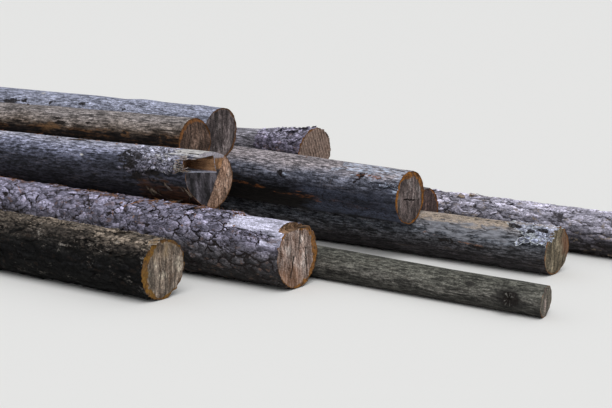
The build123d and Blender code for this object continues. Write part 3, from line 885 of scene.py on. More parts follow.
logLooks = {
    "stepped_front_log": dict(
        barkBase, seed=11, mesh=(188, 310, 28, 12), cutBack=0.1,
        patches=[
            patch("bare", (-0.34, 0.1), (58, 133), ragged=0.012),
            patch("bare", (-0.12, 0.1), (100, 156), ragged=0.02),
            patch("ledge", (-0.26, -0.04), (131, 140), ragged=0.02, rise=-0.007, grain=(14, 70, 70)),
            patch("stain", (-3, -0.4), (50, 92), ragged=0.03, soft=0.03, amount=0.4),
        ],
        # the first three crack spots paint shade into the hollow of the tear below the bare top
        spots=[
            (-0.25, 132, 0.04, 0.008, "crack", 0.8), (-0.17, 136, 0.06, 0.012, "crack", 0.9),
            (-0.09, 137, 0.05, 0.009, "crack", 0.8), (-0.2, 142, 0.04, 0.012, "stain", 0.7),
            (-0.06, 146, 0.06, 0.02, "stain", 0.7),
        ],
        swellings=[(-0.02, 110, 0.05, 0.04, 0.004)],
        tint=dict(
            barkTonesAndShade=[
                (-0.5, (0.02, 0.018, 0.018)), (0.0, (0.085, 0.08, 0.09)), (0.45, (0.205, 0.192, 0.26)),
                (0.85, (0.28, 0.264, 0.36)),
            ],
            woodTonesAndShade=[
                (-0.5, (0.03, 0.02, 0.02)), (0.1, (0.14, 0.12, 0.14)), (0.5, (0.48, 0.47, 0.6)),
                (0.9, (0.6, 0.59, 0.74)),
            ],
            stainColor=(0.1, 0.05, 0.032), streakColor=(0.2, 0.16, 0.16), fissures=1.3, fissureWidth=0.045,
            mottle=0.3, lichenAmount=0.25, dashes=0.45, streaks=0.35, checks=0.3),
        end=dict(
            heart=(0.325, 0.24, 0.205), heartDark=(0.11, 0.06, 0.04), heartLight=(0.5, 0.42, 0.38),
            rimSide=20, rimColor=(0.26, 0.105, 0.013), rimLean=0.8, rimWidth=0.02, ringAmount=0.08,
            checks=0.9, blotch=1.0, stainSide=235, stainFrom=0.5, stainColor=(0.22, 0.1, 0.045)),
        endCracks=[
            (0.03, 0.07, 80, 0.12, 0.008, 0.014), (0.07, -0.02, 95, 0.12, 0.006, 0.01),
            (-0.04, -0.05, 70, 0.12, 0.006, 0.008),
        ],
        cutTints=[
            dict(
                base=(0.115, 0.066, 0.036), dark=(0.012, 0.007, 0.004), light=(0.34, 0.21, 0.13),
                along=(12, 45, 45)),
        ]),
    "outer_front_log": dict(
        barkBase, seed=23, mesh=(150, 240, 24, 10), plateSize=(0.13, 0.03, 0.03), wander=(0.12, 0.05, 0.05),
        tint=dict(
            barkTonesAndShade=[
                (-0.5, (0.003, 0.003, 0.003)), (0.2, (0.0045, 0.0045, 0.005)), (0.52, (0.009, 0.0085, 0.008)),
                (0.8, (0.064, 0.053, 0.045)), (0.95, (0.17, 0.138, 0.11)),
            ],
            shine=0.14, mottle=0.75, lichen=(0.32, 0.29, 0.26), lichenAmount=0.9,
            barkRed=(0.06, 0.036, 0.024), redAmount=0.2, fissureColor=(0.004, 0.0035, 0.0035), fissures=1.3),
        end=dict(
            heart=(0.22, 0.175, 0.14), heartDark=(0.08, 0.054, 0.038), heartLight=(0.4, 0.35, 0.28),
            rimWidth=0.02, rimSide=165, rimLean=0.8, rimColor=(0.18, 0.085, 0.009), checks=0.8,
            ringAmount=0.08, sawAmount=0.05, streakAmount=1.0, stainSide=90, stainFrom=0.55,
            stainColor=(0.3, 0.21, 0.12))),
    "notched_log": dict(
        woodBase, seed=37, mesh=(164, 290, 26, 12), cutBack=0.3,
        spots=[
            (-0.786, 145, 0.014, 0.008, "pale", 0.9), (-0.778, 149, 0.012, 0.005, "crack", 0.9),
            (-0.46, 138, 0.09, 0.07, "crack", 0.6), (-0.44, 156, 0.035, 0.014, "crack", 1.0),
            (-0.49, 128, 0.03, 0.012, "crack", 1.0), (-0.4, 128, 0.02, 0.01, "crack", 1.0),
            (-0.39, 176, 0.06, 0.03, "crack", 0.6), (-0.3, 166, 0.05, 0.012, "crack", 0.8),
            (-0.22, 162, 0.03, 0.008, "crack", 0.8), (-0.33, 142, 0.02, 0.008, "crack", 0.8),
            (-0.27, 134, 0.08, 0.04, "pale", 0.5), (-0.1, 113, 0.09, 0.004, "crack", 0.9),
            (-0.12, 119, 0.1, 0.008, "pale", 0.9), (-0.1, 105, 0.12, 0.01, "pale", 0.8),
        ],
        patches=[
            patch("bark", (-0.48, -0.14), (112, 172), ragged=0.045),
            patch("stain", (-0.38, 0.1), (184, 262), ragged=0.05, soft=0.03, grain=(8, 60, 60), amount=0.8),
            patch("pale", (-0.22, 0.1), (78, 116), ragged=0.014, soft=0.01, amount=0.75, grain=(8, 80, 80)),
            patch("stain", (-3, -0.2), (58, 84), ragged=0.02, soft=0.02, amount=0.3),
        ],
        tint=dict(
            woodTonesAndShade=[
                (-0.4, (0.017, 0.016, 0.021)), (0.3, (0.033, 0.034, 0.048)), (0.56, (0.085, 0.09, 0.13)),
                (0.78, (0.25, 0.26, 0.36)), (0.97, (0.37, 0.37, 0.45)),
            ],
            barkTonesAndShade=[
                (-0.5, (0.016, 0.013, 0.012)), (0.1, (0.036, 0.03, 0.034)), (0.4, (0.13, 0.125, 0.165)),
                (0.85, (0.42, 0.42, 0.53)),
            ],
            cloudiness=0.24, checks=0.35, dashes=1.25, lichen=(0.52, 0.52, 0.6), lichenAmount=0.75,
            mottle=0.75, fissureColor=(0.005, 0.004, 0.004), stainColor=(0.045, 0.017, 0.007)),
        end=dict(
            heart=(0.42, 0.265, 0.19), heartDark=(0.17, 0.095, 0.06), heartLight=(0.62, 0.44, 0.34),
            rimWidth=0.008, rimColor=(0.2, 0.095, 0.04), checks=0.8, blotch=1.0, ringAmount=0.12,
            ringWidth=0.02, stainSide=260, stainFrom=0.8, stainColor=(0.27, 0.13, 0.055)),
        cutTints=[
            dict(
                base=(0.036, 0.032, 0.037), dark=(0.008, 0.007, 0.008), light=(0.11, 0.1, 0.115),
                along=(36, 44, 10), stain=(0.27, 0.14, 0.066), rimWidth=0.004),
            dict(
                base=(0.27, 0.145, 0.07), dark=(0.11, 0.052, 0.022), light=(0.36, 0.2, 0.1),
                along=(8, 70, 70), rimWidth=0.002, stain=(0.27, 0.145, 0.075), pale=(0.42, 0.46, 0.58)),
        ]),
    "long_upper_log": dict(
        woodBase, seed=41, mesh=(164, 310, 28, 12),
        knots=[(-0.73, 153, 0.024, 0.005), (-0.236, 132, 0.024, 0.006), (-0.262, 152, 0.012, 0.004)],
        spots=[
            (-0.7, 156, 0.02, 0.01, "pale", 0.5), (-0.2, 136, 0.05, 0.012, "pale", 0.5),
            (-0.25, 145, 0.02, 0.008, "crack", 0.7), (-0.02, 160, 0.02, 0.01, "pale", 0.6),
        ],
        patches=[
            patch("ledge", (-0.17, 0.1), (148, 176), ragged=0.012, rise=-0.005, soft=0.002),
            patch(
                "stain", (-0.25, -0.13), (130, 133), ragged=0.012, amount=0.9, soft=0.006, grain=(12, 90, 90),
            ),
            # painted shade: this worn patch makes the underside near-black
            patch("worn", (-3, -0.42), (196, 300), ragged=0.08, soft=0.06, grain=(4, 20, 20)),
            # here the fresh patch colours the lower front near the right end bluish dark
            patch("fresh", (-0.55, 0.1), (180, 250), ragged=0.08, soft=0.08, grain=(4, 20, 20), amount=0.9),
            patch("stain", (-1.15, -0.84), (189, 197), ragged=0.03, amount=0.55, grain=(5, 90, 90)),
            patch("stain", (-0.86, -0.48), (199, 206), ragged=0.03, amount=0.5, grain=(5, 90, 90)),
            # painted highlight: the pale bluish patch on the top near the right end
            patch("pale", (-0.42, 0.1), (80, 128), ragged=0.04, soft=0.03, amount=0.5),
        ],
        cracks=[(-0.16, 0.0, 147, 0.002, 0.006)],
        tint=dict(
            woodTonesAndShade=[
                (-0.45, (0.008, 0.007, 0.008)), (-0.1, (0.012, 0.0115, 0.0145)), (0.2, (0.04, 0.042, 0.056)),
                (0.5, (0.155, 0.162, 0.207)), (0.85, (0.3, 0.268, 0.285)),
            ],
            # the near-black worn colour here is painted shade for the patch underneath
            shine=0.15, rustAmount=0.3, rustLevel=(-0.05, -0.3), rustFrom=0.58, scuffs=0.7, dashes=1.15,
            cloudiness=0.32, stainColor=(0.17, 0.058, 0.018), wornAndShadeColor=(0.01, 0.008, 0.007), specks=0.35,
            paleColor=(0.52, 0.6, 0.76), freshColor=(0.075, 0.085, 0.125)),
        end=dict(
            heart=(0.118, 0.091, 0.086), heartDark=(0.036, 0.027, 0.026), heartLight=(0.21, 0.18, 0.172),
            rimWidth=0.017, checks=0.0, rimSide=80, rimLean=0.5, rimColor=(0.28, 0.105, 0.01),
            rimDark=(0.1, 0.04, 0.01), ringAmount=0.1, sawAmount=0.0, streakAmount=1.0),
        endCracks=[(0.0, -0.012, -10, 0.12, 0.0022, 0.01)]),
    "top_front_log": dict(
        woodBase, seed=53, mesh=(150, 240, 26, 10),
        knots=[
            (-0.848, 149, 0.014, 0.003), (-0.661, 144, 0.012, 0.003), (-0.38, 163, 0.018, 0.005),
            (-0.118, 167, 0.024, 0.006),
        ],
        spots=[
            (-0.86, 150, 0.04, 0.01, "crack", 0.85), (-0.66, 145, 0.022, 0.008, "crack", 0.8),
            (-1.2, 156, 0.05, 0.01, "crack", 0.7), (-0.11, 169, 0.014, 0.02, "crack", 0.7),
            (-0.38, 165, 0.03, 0.02, "stain", 0.8), (-0.385, 163, 0.012, 0.008, "crack", 0.8),
            (-0.12, 166, 0.04, 0.03, "stain", 0.6), (-0.95, 160, 0.12, 0.02, "stain", 0.6),
            (-0.9, 140, 0.06, 0.008, "crack", 0.6), (-0.55, 160, 0.1, 0.012, "stain", 0.5),
        ],
        patches=[patch("fresh", (-1.0, -0.84), (155, 175), ragged=0.02, soft=0.01, amount=0.6)],
        tint=dict(
            woodTonesAndShade=[
                (-0.4, (0.003, 0.002, 0.002)), (0.24, (0.01, 0.007, 0.006)), (0.42, (0.08, 0.06, 0.047)),
                (0.58, (0.205, 0.172, 0.155)), (0.9, (0.24, 0.215, 0.213)),
            ],
            shine=0.15, rustAmount=0.5, rustLevel=(0.5, 0.2), rust=(0.15, 0.066, 0.022),
            freshColor=(0.22, 0.12, 0.05), cloudiness=0.3, specks=0.4, dashes=1.1,
            stainColor=(0.09, 0.045, 0.02)),
        end=dict(
            heart=(0.11, 0.068, 0.05), heartDark=(0.034, 0.021, 0.016), heartLight=(0.21, 0.14, 0.108),
            rimWidth=0.017, checks=0.4, rimSide=150, rimLean=0.55, ringWidth=0.018, ringAmount=0.14,
            sawAmount=0.1, rimColor=(0.2, 0.08, 0.024))),
    "top_rear_log": dict(
        woodBase, seed=61, mesh=(136, 230, 26, 10),
        knots=[
            (-1.446, 141, 0.03, 0.006), (-1.162, 139, 0.016, 0.004), (-0.884, 127, 0.02, 0.005),
            (-0.599, 140, 0.015, 0.004),
        ],
        spots=[
            (-1.47, 146, 0.06, 0.02, "crack", 0.75), (-1.37, 139, 0.03, 0.018, "crack", 0.7),
            (-1.15, 134, 0.03, 0.012, "crack", 0.6), (-0.92, 131, 0.035, 0.014, "crack", 0.7),
            (-0.6, 136, 0.02, 0.01, "crack", 0.6), (-1.28, 105, 0.02, 0.008, "pale", 0.9),
            (-1.25, 150, 0.05, 0.012, "crack", 0.5), (-0.35, 125, 0.03, 0.01, "crack", 0.45),
        ],
        swellings=[
            (-0.53, 99, 0.1, 0.06, 0.01), (-0.72, 99, 0.05, 0.06, -0.005), (-0.14, 99, 0.06, 0.05, 0.006),
        ],
        tint=dict(
            woodTonesAndShade=[
                (-0.4, (0.02, 0.018, 0.02)), (0.0, (0.06, 0.06, 0.075)), (0.3, (0.2, 0.21, 0.265)),
                (0.8, (0.285, 0.3, 0.39)),
            ],
            specks=0.8, cloudiness=0.35, streaks=0.5),
        end=dict(
            heart=(0.12, 0.096, 0.094), heartDark=(0.042, 0.032, 0.032), heartLight=(0.22, 0.185, 0.18),
            rimWidth=0.009, rimSide=20, rimLean=0.6, rimColor=(0.15, 0.07, 0.035), ringAmount=0.06,
            sawAmount=0.05, streakAmount=1.0)),
    "flared_rear_log": dict(
        barkBase, seed=71, mesh=(124, 190, 26, 10), plateSize=(0.05, 0.028, 0.028),
        patches=[patch("bare", (-3, -0.36), (0, 359), ragged=0.02)],
        tint=dict(
            barkTonesAndShade=[
                (-0.5, (0.02, 0.017, 0.018)), (0.0, (0.07, 0.06, 0.075)), (0.5, (0.19, 0.17, 0.24)),
                (0.9, (0.34, 0.32, 0.42)),
            ],
            fissures=0.8,
            woodTonesAndShade=[
                (-0.5, (0.02, 0.016, 0.016)), (0.1, (0.09, 0.085, 0.095)), (0.6, (0.19, 0.18, 0.21)),
                (0.9, (0.26, 0.25, 0.29)),
            ]),
        end=dict(
            heart=(0.215, 0.15, 0.12), heartDark=(0.12, 0.072, 0.05), heartLight=(0.33, 0.24, 0.195),
            rimWidth=0.009, rimSide=185, rimLean=0.85, rimColor=(0.24, 0.1, 0.03), sawTurn=25, sawAmount=0.85,
            sawStep=0.021, sawWobble=2.5, ringAmount=0.04, streakAmount=0.25, checks=0.3, blotch=0.5)),
    "ragged_end_log": dict(
        woodBase, seed=83, mesh=(150, 260, 24, 10), slot="bark", barkThickness=0.007,
        patches=[
            patch("fresh", (-0.75, -0.24), (84, 130), ragged=0.03, soft=0.012, amount=0.9, grain=(7, 60, 60)),
            patch("fresh", (-0.24, 0.1), (84, 104), ragged=0.014, soft=0.01, amount=0.7, grain=(7, 60, 60)),
            patch(
                "worn", (-0.7, -0.22), (122, 156), slant=30, ragged=0.04, soft=0.03, amount=0.9,
                grain=(9, 30, 30)),
            patch("worn", (-0.32, -0.06), (112, 140), ragged=0.04, soft=0.03, amount=0.35, grain=(9, 30, 30)),
            patch("bark", (-0.25, 0.1), (60, 144), slant=150, ragged=0.03, paleRim=0.01, grain=(22, 34, 34)),
            patch("ledge", (-3, -0.28), (168, 300), slant=40, ragged=0.02, rise=-0.006),
            patch(
                "stain", (-0.68, -0.34), (169, 172), slant=60, ragged=0.014, amount=0.5, soft=0.006,
                grain=(8, 40, 40)),
            # painted shade: a dark band just below the rust line, where the skin steps down
            patch("crack", (-0.72, -0.34), (173, 182), slant=60, ragged=0.02, amount=0.6, grain=(8, 40, 40)),
        ],
        spots=[
            (-0.21, 113, 0.035, 0.018, "crack", 1.0), (-0.13, 125, 0.03, 0.014, "crack", 0.95),
            (-0.06, 118, 0.03, 0.012, "crack", 0.95), (-0.15, 142, 0.03, 0.012, "crack", 0.9),
            (-0.08, 150, 0.025, 0.01, "crack", 0.9), (-0.12, 112, 0.05, 0.02, "pale", 0.6),
            (-0.1, 136, 0.05, 0.02, "pale", 0.6), (-0.45, 98, 0.12, 0.03, "crack", 0.34),
            (-0.62, 112, 0.08, 0.03, "crack", 0.38), (-0.3, 104, 0.06, 0.02, "crack", 0.36),
        ],
        tint=dict(
            woodTonesAndShade=[
                (-0.4, (0.025, 0.022, 0.024)), (0.05, (0.07, 0.07, 0.078)), (0.4, (0.125, 0.135, 0.16)),
                (0.75, (0.19, 0.185, 0.2)), (0.95, (0.27, 0.24, 0.23)),
            ],
            barkTonesAndShade=[
                (-0.5, (0.03, 0.028, 0.03)), (0.2, (0.14, 0.14, 0.17)), (0.5, (0.34, 0.37, 0.5)),
                (0.9, (0.46, 0.48, 0.6)),
            ],
            fissures=0.7, dashes=1.2, freshColor=(0.47, 0.38, 0.3), wornAndShadeColor=(0.215, 0.22, 0.248),
            paleColor=(0.66, 0.7, 0.74), stainColor=(0.22, 0.085, 0.03), cloudiness=0.25, streaks=0.9),
        end=dict(
            heart=(0.165, 0.135, 0.09), heartDark=(0.07, 0.052, 0.034), heartLight=(0.28, 0.235, 0.165),
            rimWidth=0.007, ringAmount=0.06, streakAmount=0.9, stainSide=20, stainFrom=0.4,
            stainColor=(0.15, 0.055, 0.025))),
    "long_rear_log": dict(
        barkBase, seed=97, mesh=(116, 260, 18, 10), plateSize=(0.15, 0.036, 0.036),
        wander=(0.07, 0.025, 0.025), chip=0.003,
        tint=dict(
            barkTonesAndShade=[
                (-0.5, (0.03, 0.026, 0.028)), (0.0, (0.15, 0.14, 0.17)), (0.35, (0.33, 0.315, 0.385)),
                (0.85, (0.43, 0.41, 0.5)),
            ],
            redAmount=0.6, barkRed=(0.31, 0.24, 0.17), fissures=0.9, mottle=0.4)),
    "dark_rear_log": dict(
        barkBase, seed=101, mesh=(96, 110, 20, 8),
        tint=dict(
            barkTonesAndShade=[
                (-0.5, (0.01, 0.008, 0.008)), (0.0, (0.04, 0.035, 0.035)), (0.5, (0.1, 0.09, 0.095)),
                (0.9, (0.17, 0.155, 0.17)),
            ]),
        end=dict(
            heart=(0.082, 0.055, 0.052), heartDark=(0.05, 0.03, 0.028), heartLight=(0.19, 0.125, 0.11),
            rimWidth=0.011, rimSide=20, rimLean=0.4, rimColor=(0.24, 0.09, 0.025), ringAmount=0.05)),
    "thin_pole": dict(
        woodBase, seed=113, mesh=(92, 240, 14, 8),
        knots=[(-0.348, 145, 0.016, 0.004), (-0.145, 176, 0.017, 0.012)],
        spots=[
            (-0.15, 178, 0.08, 0.05, "stain", 1.1), (-0.348, 148, 0.035, 0.014, "stain", 0.8),
            (-0.148, 179, 0.055, 0.036, "crack", 0.7),
        ],
        tint=dict(
            woodTonesAndShade=[
                (-0.4, (0.045, 0.043, 0.038)), (0.0, (0.11, 0.105, 0.094)), (0.35, (0.115, 0.112, 0.098)),
                (0.85, (0.095, 0.094, 0.08)),
            ],
            specks=0.4, stainColor=(0.02, 0.018, 0.016), paleColor=(0.17, 0.165, 0.15)),
        end=dict(heart=(0.12, 0.11, 0.085), rimWidth=0.003)),
}

# painted shade: the hidden logs are near-black, standing in for the shade in the gaps between the logs
hiddenShadeTint = dict(
    woodTonesAndShade=[(-0.5, (0.008, 0.006, 0.006)), (0.0, (0.02, 0.015, 0.013)), (0.9, (0.07, 0.055, 0.048))])
hiddenShadeEnd = dict(heart=(0.07, 0.05, 0.042), heartDark=(0.03, 0.02, 0.018), heartLight=(0.1, 0.075, 0.06),
                 rimColor=(0.12, 0.05, 0.02))
for node, seed in (("hidden_ground_log_front", 127), ("hidden_ground_log_middle", 131), ("hidden_upper_log", 139)):
    logLooks[node] = dict(woodBase, seed=seed, mesh=(48, 56, 6, 6), tint=hiddenShadeTint, end=hiddenShadeEnd)

pieces, shapes, skins = {}, {}, {}
for node, looks in logLooks.items():
    skins[node] = skinMaterial(node + "_skin", looks)
    materials = [skins[node], endMaterial(node + "_end", looks)]
    for index, cutLooks in enumerate(looks.get("cutTints", ())):
        materials.append(cutMaterial(f"{node}_cut_{index}", cutLooks, looks["seed"] + 7 + index))
    pieces[node], shapes[node] = buildLog(node, looks, materials)
    if looks["skin"] == "bark" or any(area["kind"] == "bark" for area in looks.get("patches", ())):
        raiseBark(pieces[node], looks)
    print("log", node, len(pieces[node].data.polygons), "faces")


# The notched log's felling cut and pocket, and the stepped log's step. Heights are from the log's axis

notchSettings = dict(
    slope=28.0, lean=24.0,                                # the felling cut, and the line that it starts from
    wall=0.008, inner=0.195, mouth=0.100, front=0.140,    # the pocket's back wall and slanting inner end
    ledge=(0.040, 0.061), roof=(0.124, 0.102),            # at the back wall, and at the block's front
    innerDrop=0.008,                                      # how much lower the roof is at the inner end
    tones=(0.045, 0.110))                                 # the wood is dark above the first, pale above the second
stepSettings = dict(height=0.118, depth=0.045)
outside = dict(front=0.2, end=0.06, top=0.26)             # how far the blocks that cut stand out of the log


def logEnd(shape):
    x = shape.axisEnd[1]
    return x, *(float(value) for value in shape.centre(np.array(x)))


def cutNotchedLog(piece, shape, settings):
    x, y, z = logEnd(shape)
    slope, lean = math.radians(settings["slope"]), math.radians(settings["lean"])
    normal = np.array([math.cos(slope), -math.sin(slope) * math.cos(lean), math.sin(slope) * math.sin(lean)])
    line = np.array([0, math.sin(lean), math.cos(lean)])
    side = np.cross(normal, line)
    corners = [np.array([x, y, z]) + n * normal + a * line + b * side
               for n in (0, 0.3) for a in (-0.2, 0.2) for b in (-0.24, 0.24)]
    places, faces = roughBlock(corners, (3, 72, 84), 0.0016, 24, 5)
    height = places[:, 2] - z
    dark, light = settings["tones"]
    cutWith(piece, places, faces, 2, {"stain": smoothStep(dark + 0.006, dark + 0.016, height),
                                      "pale": 0.8 * smoothStep(light - 0.004, light + 0.004, height)})
    wall, inner, reach = settings["wall"], settings["inner"], settings["wall"] + outside["front"]
    slant = (inner - settings["mouth"]) / (wall + settings["front"])
    corners = []
    for end in (0, 1):
        for across, k in ((y - outside["front"], 1), (y + wall, 0)):
            along = x + outside["end"] if end else x - inner + slant * reach * k
            roof = settings["roof"][k] - settings["innerDrop"] * (k > end)
            corners += [(along, across, z + settings["ledge"][k]), (along, across, z + roof)]
    places, faces = roughBlock(corners, (44, 34, 11), 0.0025, 20, 9)
    height, toFront = places[:, 2] - z, y + wall - places[:, 1]
    low, high = settings["ledge"]
    pale = smoothStep(0.006, 0.003, height - (low + (high - low) * toFront / reach))
    deep = smoothStep(0.02, 0.13, x - places[:, 0])
    stain = smoothStep(wall - 0.012, wall - 0.004, places[:, 1] - y) * deep * (1 - pale)
    stain = np.maximum(stain, 0.5 * smoothStep(light - 0.02, light - 0.004, height))
    innerWall = smoothStep(0.012, 0.004, places[:, 0] - x + inner - slant * toFront)
    cutWith(piece, places, faces, 3, {"pale": pale * (1 - innerWall), "stain": np.maximum(stain, innerWall)})


def cutSteppedLog(piece, shape, settings):
    x, y, z = logEnd(shape)
    corners = [(x + a, y + b, z + c) for a in (-settings["depth"], outside["end"])
               for b in (-outside["front"], outside["front"]) for c in (settings["height"], outside["top"])]
    places, faces = roughBlock(corners, (16, 60, 22), 0.005, 28, 13)
    cutWith(piece, places, faces, 2, {})


cutNotchedLog(pieces["notched_log"], shapes["notched_log"], notchSettings)
cutSteppedLog(pieces["stepped_front_log"], shapes["stepped_front_log"], stepSettings)
for node in ("notched_log", "stepped_front_log"):
    settleMarks(pieces[node], shapes[node], logLooks[node])
for node, looks in logLooks.items():
    dress(pieces[node], node)
print("ends are cut")


# Loose bark, torn fibres and a branch stub, each made of thin closed scraps laid on a log


def scraps(seed, count, span, angles, long, wide, lift, **more):
    # toward is the side that lifts, base the height of the low edge, twist the spread of the turns in radians
    return {"seed": seed, "count": count, "sizes": (span, angles, long, wide, lift), "toward": (0, 360),
            "base": 0.001, "twist": 0.5, "pale": 0, "paleRim": 0, **more}


scrapSettings = {
    "stepped_front_log": [
        scraps(1, 42, (-2.2, -0.36), (84, 205), (0.03, 0.075), (0.02, 0.04), (0.003, 0.009)),
        scraps(2, 9, (-0.28, -0.04), (137, 147), (0.03, 0.06), (0.01, 0.022), (0.005, 0.012), base=-0.003),
    ],
    "outer_front_log": [
        scraps(4, 34, (-1.5, -0.05), (84, 205), (0.04, 0.11), (0.014, 0.03), (0.003, 0.008)),
        scraps(
            5, 4, (-0.03, -0.005), (92, 118), (0.03, 0.04), (0.02, 0.04), (0.002, 0.008), fresh=1.0,
            paleRim=0.6),
    ],
    "notched_log": [
        scraps(
            6, 18, (-0.38, -0.16), (112, 162), (0.02, 0.055), (0.012, 0.03), (0.004, 0.012), base=0.006,
            paleRim=0.5),
        scraps(11, 7, (-0.52, -0.38), (116, 170), (0.015, 0.035), (0.008, 0.018), (0.004, 0.012), base=0.005),
        scraps(
            7, 1, (-0.125, -0.125), (122, 122), (0.2, 0.2), (0.024, 0.024), (0.007, 0.007), toward=(80, 100),
            bare=1, pale=0.5, paleRim=1.0, twist=0.0),
        scraps(
            8, 22, (-0.16, -0.09), (127, 160), (0.04, 0.085), (0.004, 0.009), (0.004, 0.018),
            toward=(-20, 20), bare=1, fresh=0.7, paleRim=0.8, twist=0.35),
        scraps(
            9, 1, (-0.155, -0.155), (151, 151), (0.035, 0.035), (0.02, 0.02), (0.016, 0.016), bare=1,
            pale=0.9),
        scraps(
            10, 12, (-0.32, -0.06), (186, 232), (0.03, 0.07), (0.002, 0.005), (0.004, 0.014), bare=1,
            fresh=0.25, twist=0.9),
        scraps(
            12, 2, (-0.93, -0.86), (98, 104), (0.1, 0.16), (0.01, 0.014), (0.004, 0.008), bare=1, fresh=1.0,
            twist=0.15),
    ],
    "long_upper_log": [
        scraps(
            14, 5, (-0.2, -0.02), (143, 152), (0.03, 0.07), (0.008, 0.016), (0.003, 0.008), bare=1,
            paleRim=0.7, twist=0.2),
        scraps(
            15, 5, (-0.27, -0.18), (126, 138), (0.015, 0.035), (0.004, 0.01), (0.003, 0.007), bare=1,
            stain=0.8),
    ],
    "flared_rear_log": [
        scraps(16, 24, (-0.36, -0.02), (70, 170), (0.02, 0.045), (0.012, 0.026), (0.003, 0.009)),
        scraps(
            17, 5, (-0.24, -0.04), (100, 116), (0.035, 0.06), (0.02, 0.03), (0.012, 0.022), paleRim=0.9,
            toward=(40, 140)),
    ],
    "ragged_end_log": [
        scraps(
            18, 7, (-0.16, -0.04), (140, 157), (0.03, 0.06), (0.018, 0.03), (0.007, 0.013), base=0.007,
            paleRim=1.0, toward=(60, 120), twist=0.4),
        scraps(
            19, 4, (-0.22, -0.05), (104, 128), (0.025, 0.05), (0.015, 0.028), (0.004, 0.01), base=0.008,
            paleRim=0.7),
        scraps(
            20, 8, (-0.012, -0.002), (96, 152), (0.02, 0.036), (0.006, 0.014), (0.001, 0.006), base=0.004,
            paleRim=0.8, twist=0.3),
        scraps(
            21, 10, (-0.66, -0.34), (128, 158), (0.03, 0.08), (0.004, 0.012), (0.003, 0.008), bare=1,
            twist=0.2),
    ],
    "long_rear_log": [
        scraps(22, 44, (-2.1, -0.7), (84, 165), (0.04, 0.1), (0.016, 0.034), (0.004, 0.01), paleRim=0.3),
        scraps(24, 3, (-1.1, -0.8), (94, 134), (0.03, 0.05), (0.018, 0.028), (0.006, 0.012), fresh=0.9),
    ],
}

# underside: how much painted shade darkens the underside of each scrap
scrapShape = dict(spokes=18, rings=4, ragged=0.2, rough=0.0006, thick=0.0014, underside=0.45)

stubSettings = dict(
    place=-0.145, turn=174, size=0.023, height=0.026, spokes=28, torn=(2, 5, 9, 10, 16, 19, 24), seed=77,
    rings=[(1.5, -0.3), (1.15, 0.15), (1.0, 0.6), (0.9, 1.0), (0.6, 0.75), (0.3, 0.6)])


def makeScrap(rng, shape, group, form):
    middle, turn, long, wide, lift = (rng.uniform(*limits) for limits in group["sizes"])
    toward = math.radians(rng.uniform(*group["toward"]))
    twist = rng.normal(0, group["twist"])
    spokes, rings, turn = form["spokes"], form["rings"], math.radians(turn)
    around = np.arange(spokes) / spokes * fullTurn
    outline = (np.cos(around) ** 4 + np.sin(around) ** 4) ** -0.25
    outline = outline * (1 + form["ragged"] * rng.uniform(-1, 1, spokes))
    out = np.concatenate([[0], np.repeat(np.arange(1, rings + 1) / rings, spokes)])
    u, v = (out * np.concatenate([[0], np.tile(outline * wave(around), rings)]) for wave in (np.cos, np.sin))
    lean = np.clip((u * math.cos(toward) + v * math.sin(toward) + 0.6) / 1.6, 0, 1.2)
    rise = group["base"] + lift * lean**1.8 + form["rough"] * rng.uniform(-1, 1, len(out))
    a, b = u * long / 2, v * wide / 2
    s = middle + a * math.cos(twist) - b * math.sin(twist)
    across = a * math.sin(twist) + b * math.cos(twist)
    angle = turn + across / shape.radius(s + shape.right, turn)
    thick = form["thick"] * (1.2 - 0.8 * out)
    places = np.concatenate([shape.place(s, angle, rise + thick), shape.place(s, angle, rise - thick)])
    space = shape.local(places)[0]
    space[:, 0] += rng.uniform(2, 9)   # so each scrap shows its own part of the pattern
    edge, under = np.tile(smoothStep(0.6, 1.0, out), 2), np.repeat((0.0, 1.0), len(out))
    marks = {name: group.get(name, 0) + 0 * under for name in markNames}
    # painted shade: the underside of each scrap is darkened, as shade beneath the loose bark
    marks["crack"] = form["underside"] * under
    marks["pale"] = np.maximum(group["pale"], group["paleRim"] * edge) * (1 - under)
    top = 1 + np.arange(rings * spokes).reshape(rings, spokes)
    here = np.concatenate([top, top[::-1] + len(out)])
    there = np.roll(here, -1, axis=1)
    faces = np.roll(strip(here, there), -1, axis=1).tolist()
    for centre, first, second in ((0, there[0], here[0]), (len(out), here[-1], there[-1])):
        faces += np.stack([first, second, np.full(spokes, centre)], -1).tolist()
    return {"places": places, "space": space, **marks}, faces


def closedPiece(name, places, faces, marks, material):
    mesh = plainMesh(name, places, faces, [material])
    saveMarks(mesh, marks)
    return inScene(name, mesh)


def layScraps(node, groups, form):
    made, faces, start = [], [], 0
    for group in groups:
        rng = np.random.default_rng(group["seed"])
        for _ in range(group["count"]):
            scrap, added = makeScrap(rng, shapes[node], group, form)
            made.append(scrap)
            faces += [[corner + start for corner in face] for face in added]
            start += len(scrap["places"])
    marks = {name: np.concatenate([scrap[name] for scrap in made]) for name in made[0]}
    return closedPiece(node + "_scraps", marks.pop("places"), faces, marks, skins[node])


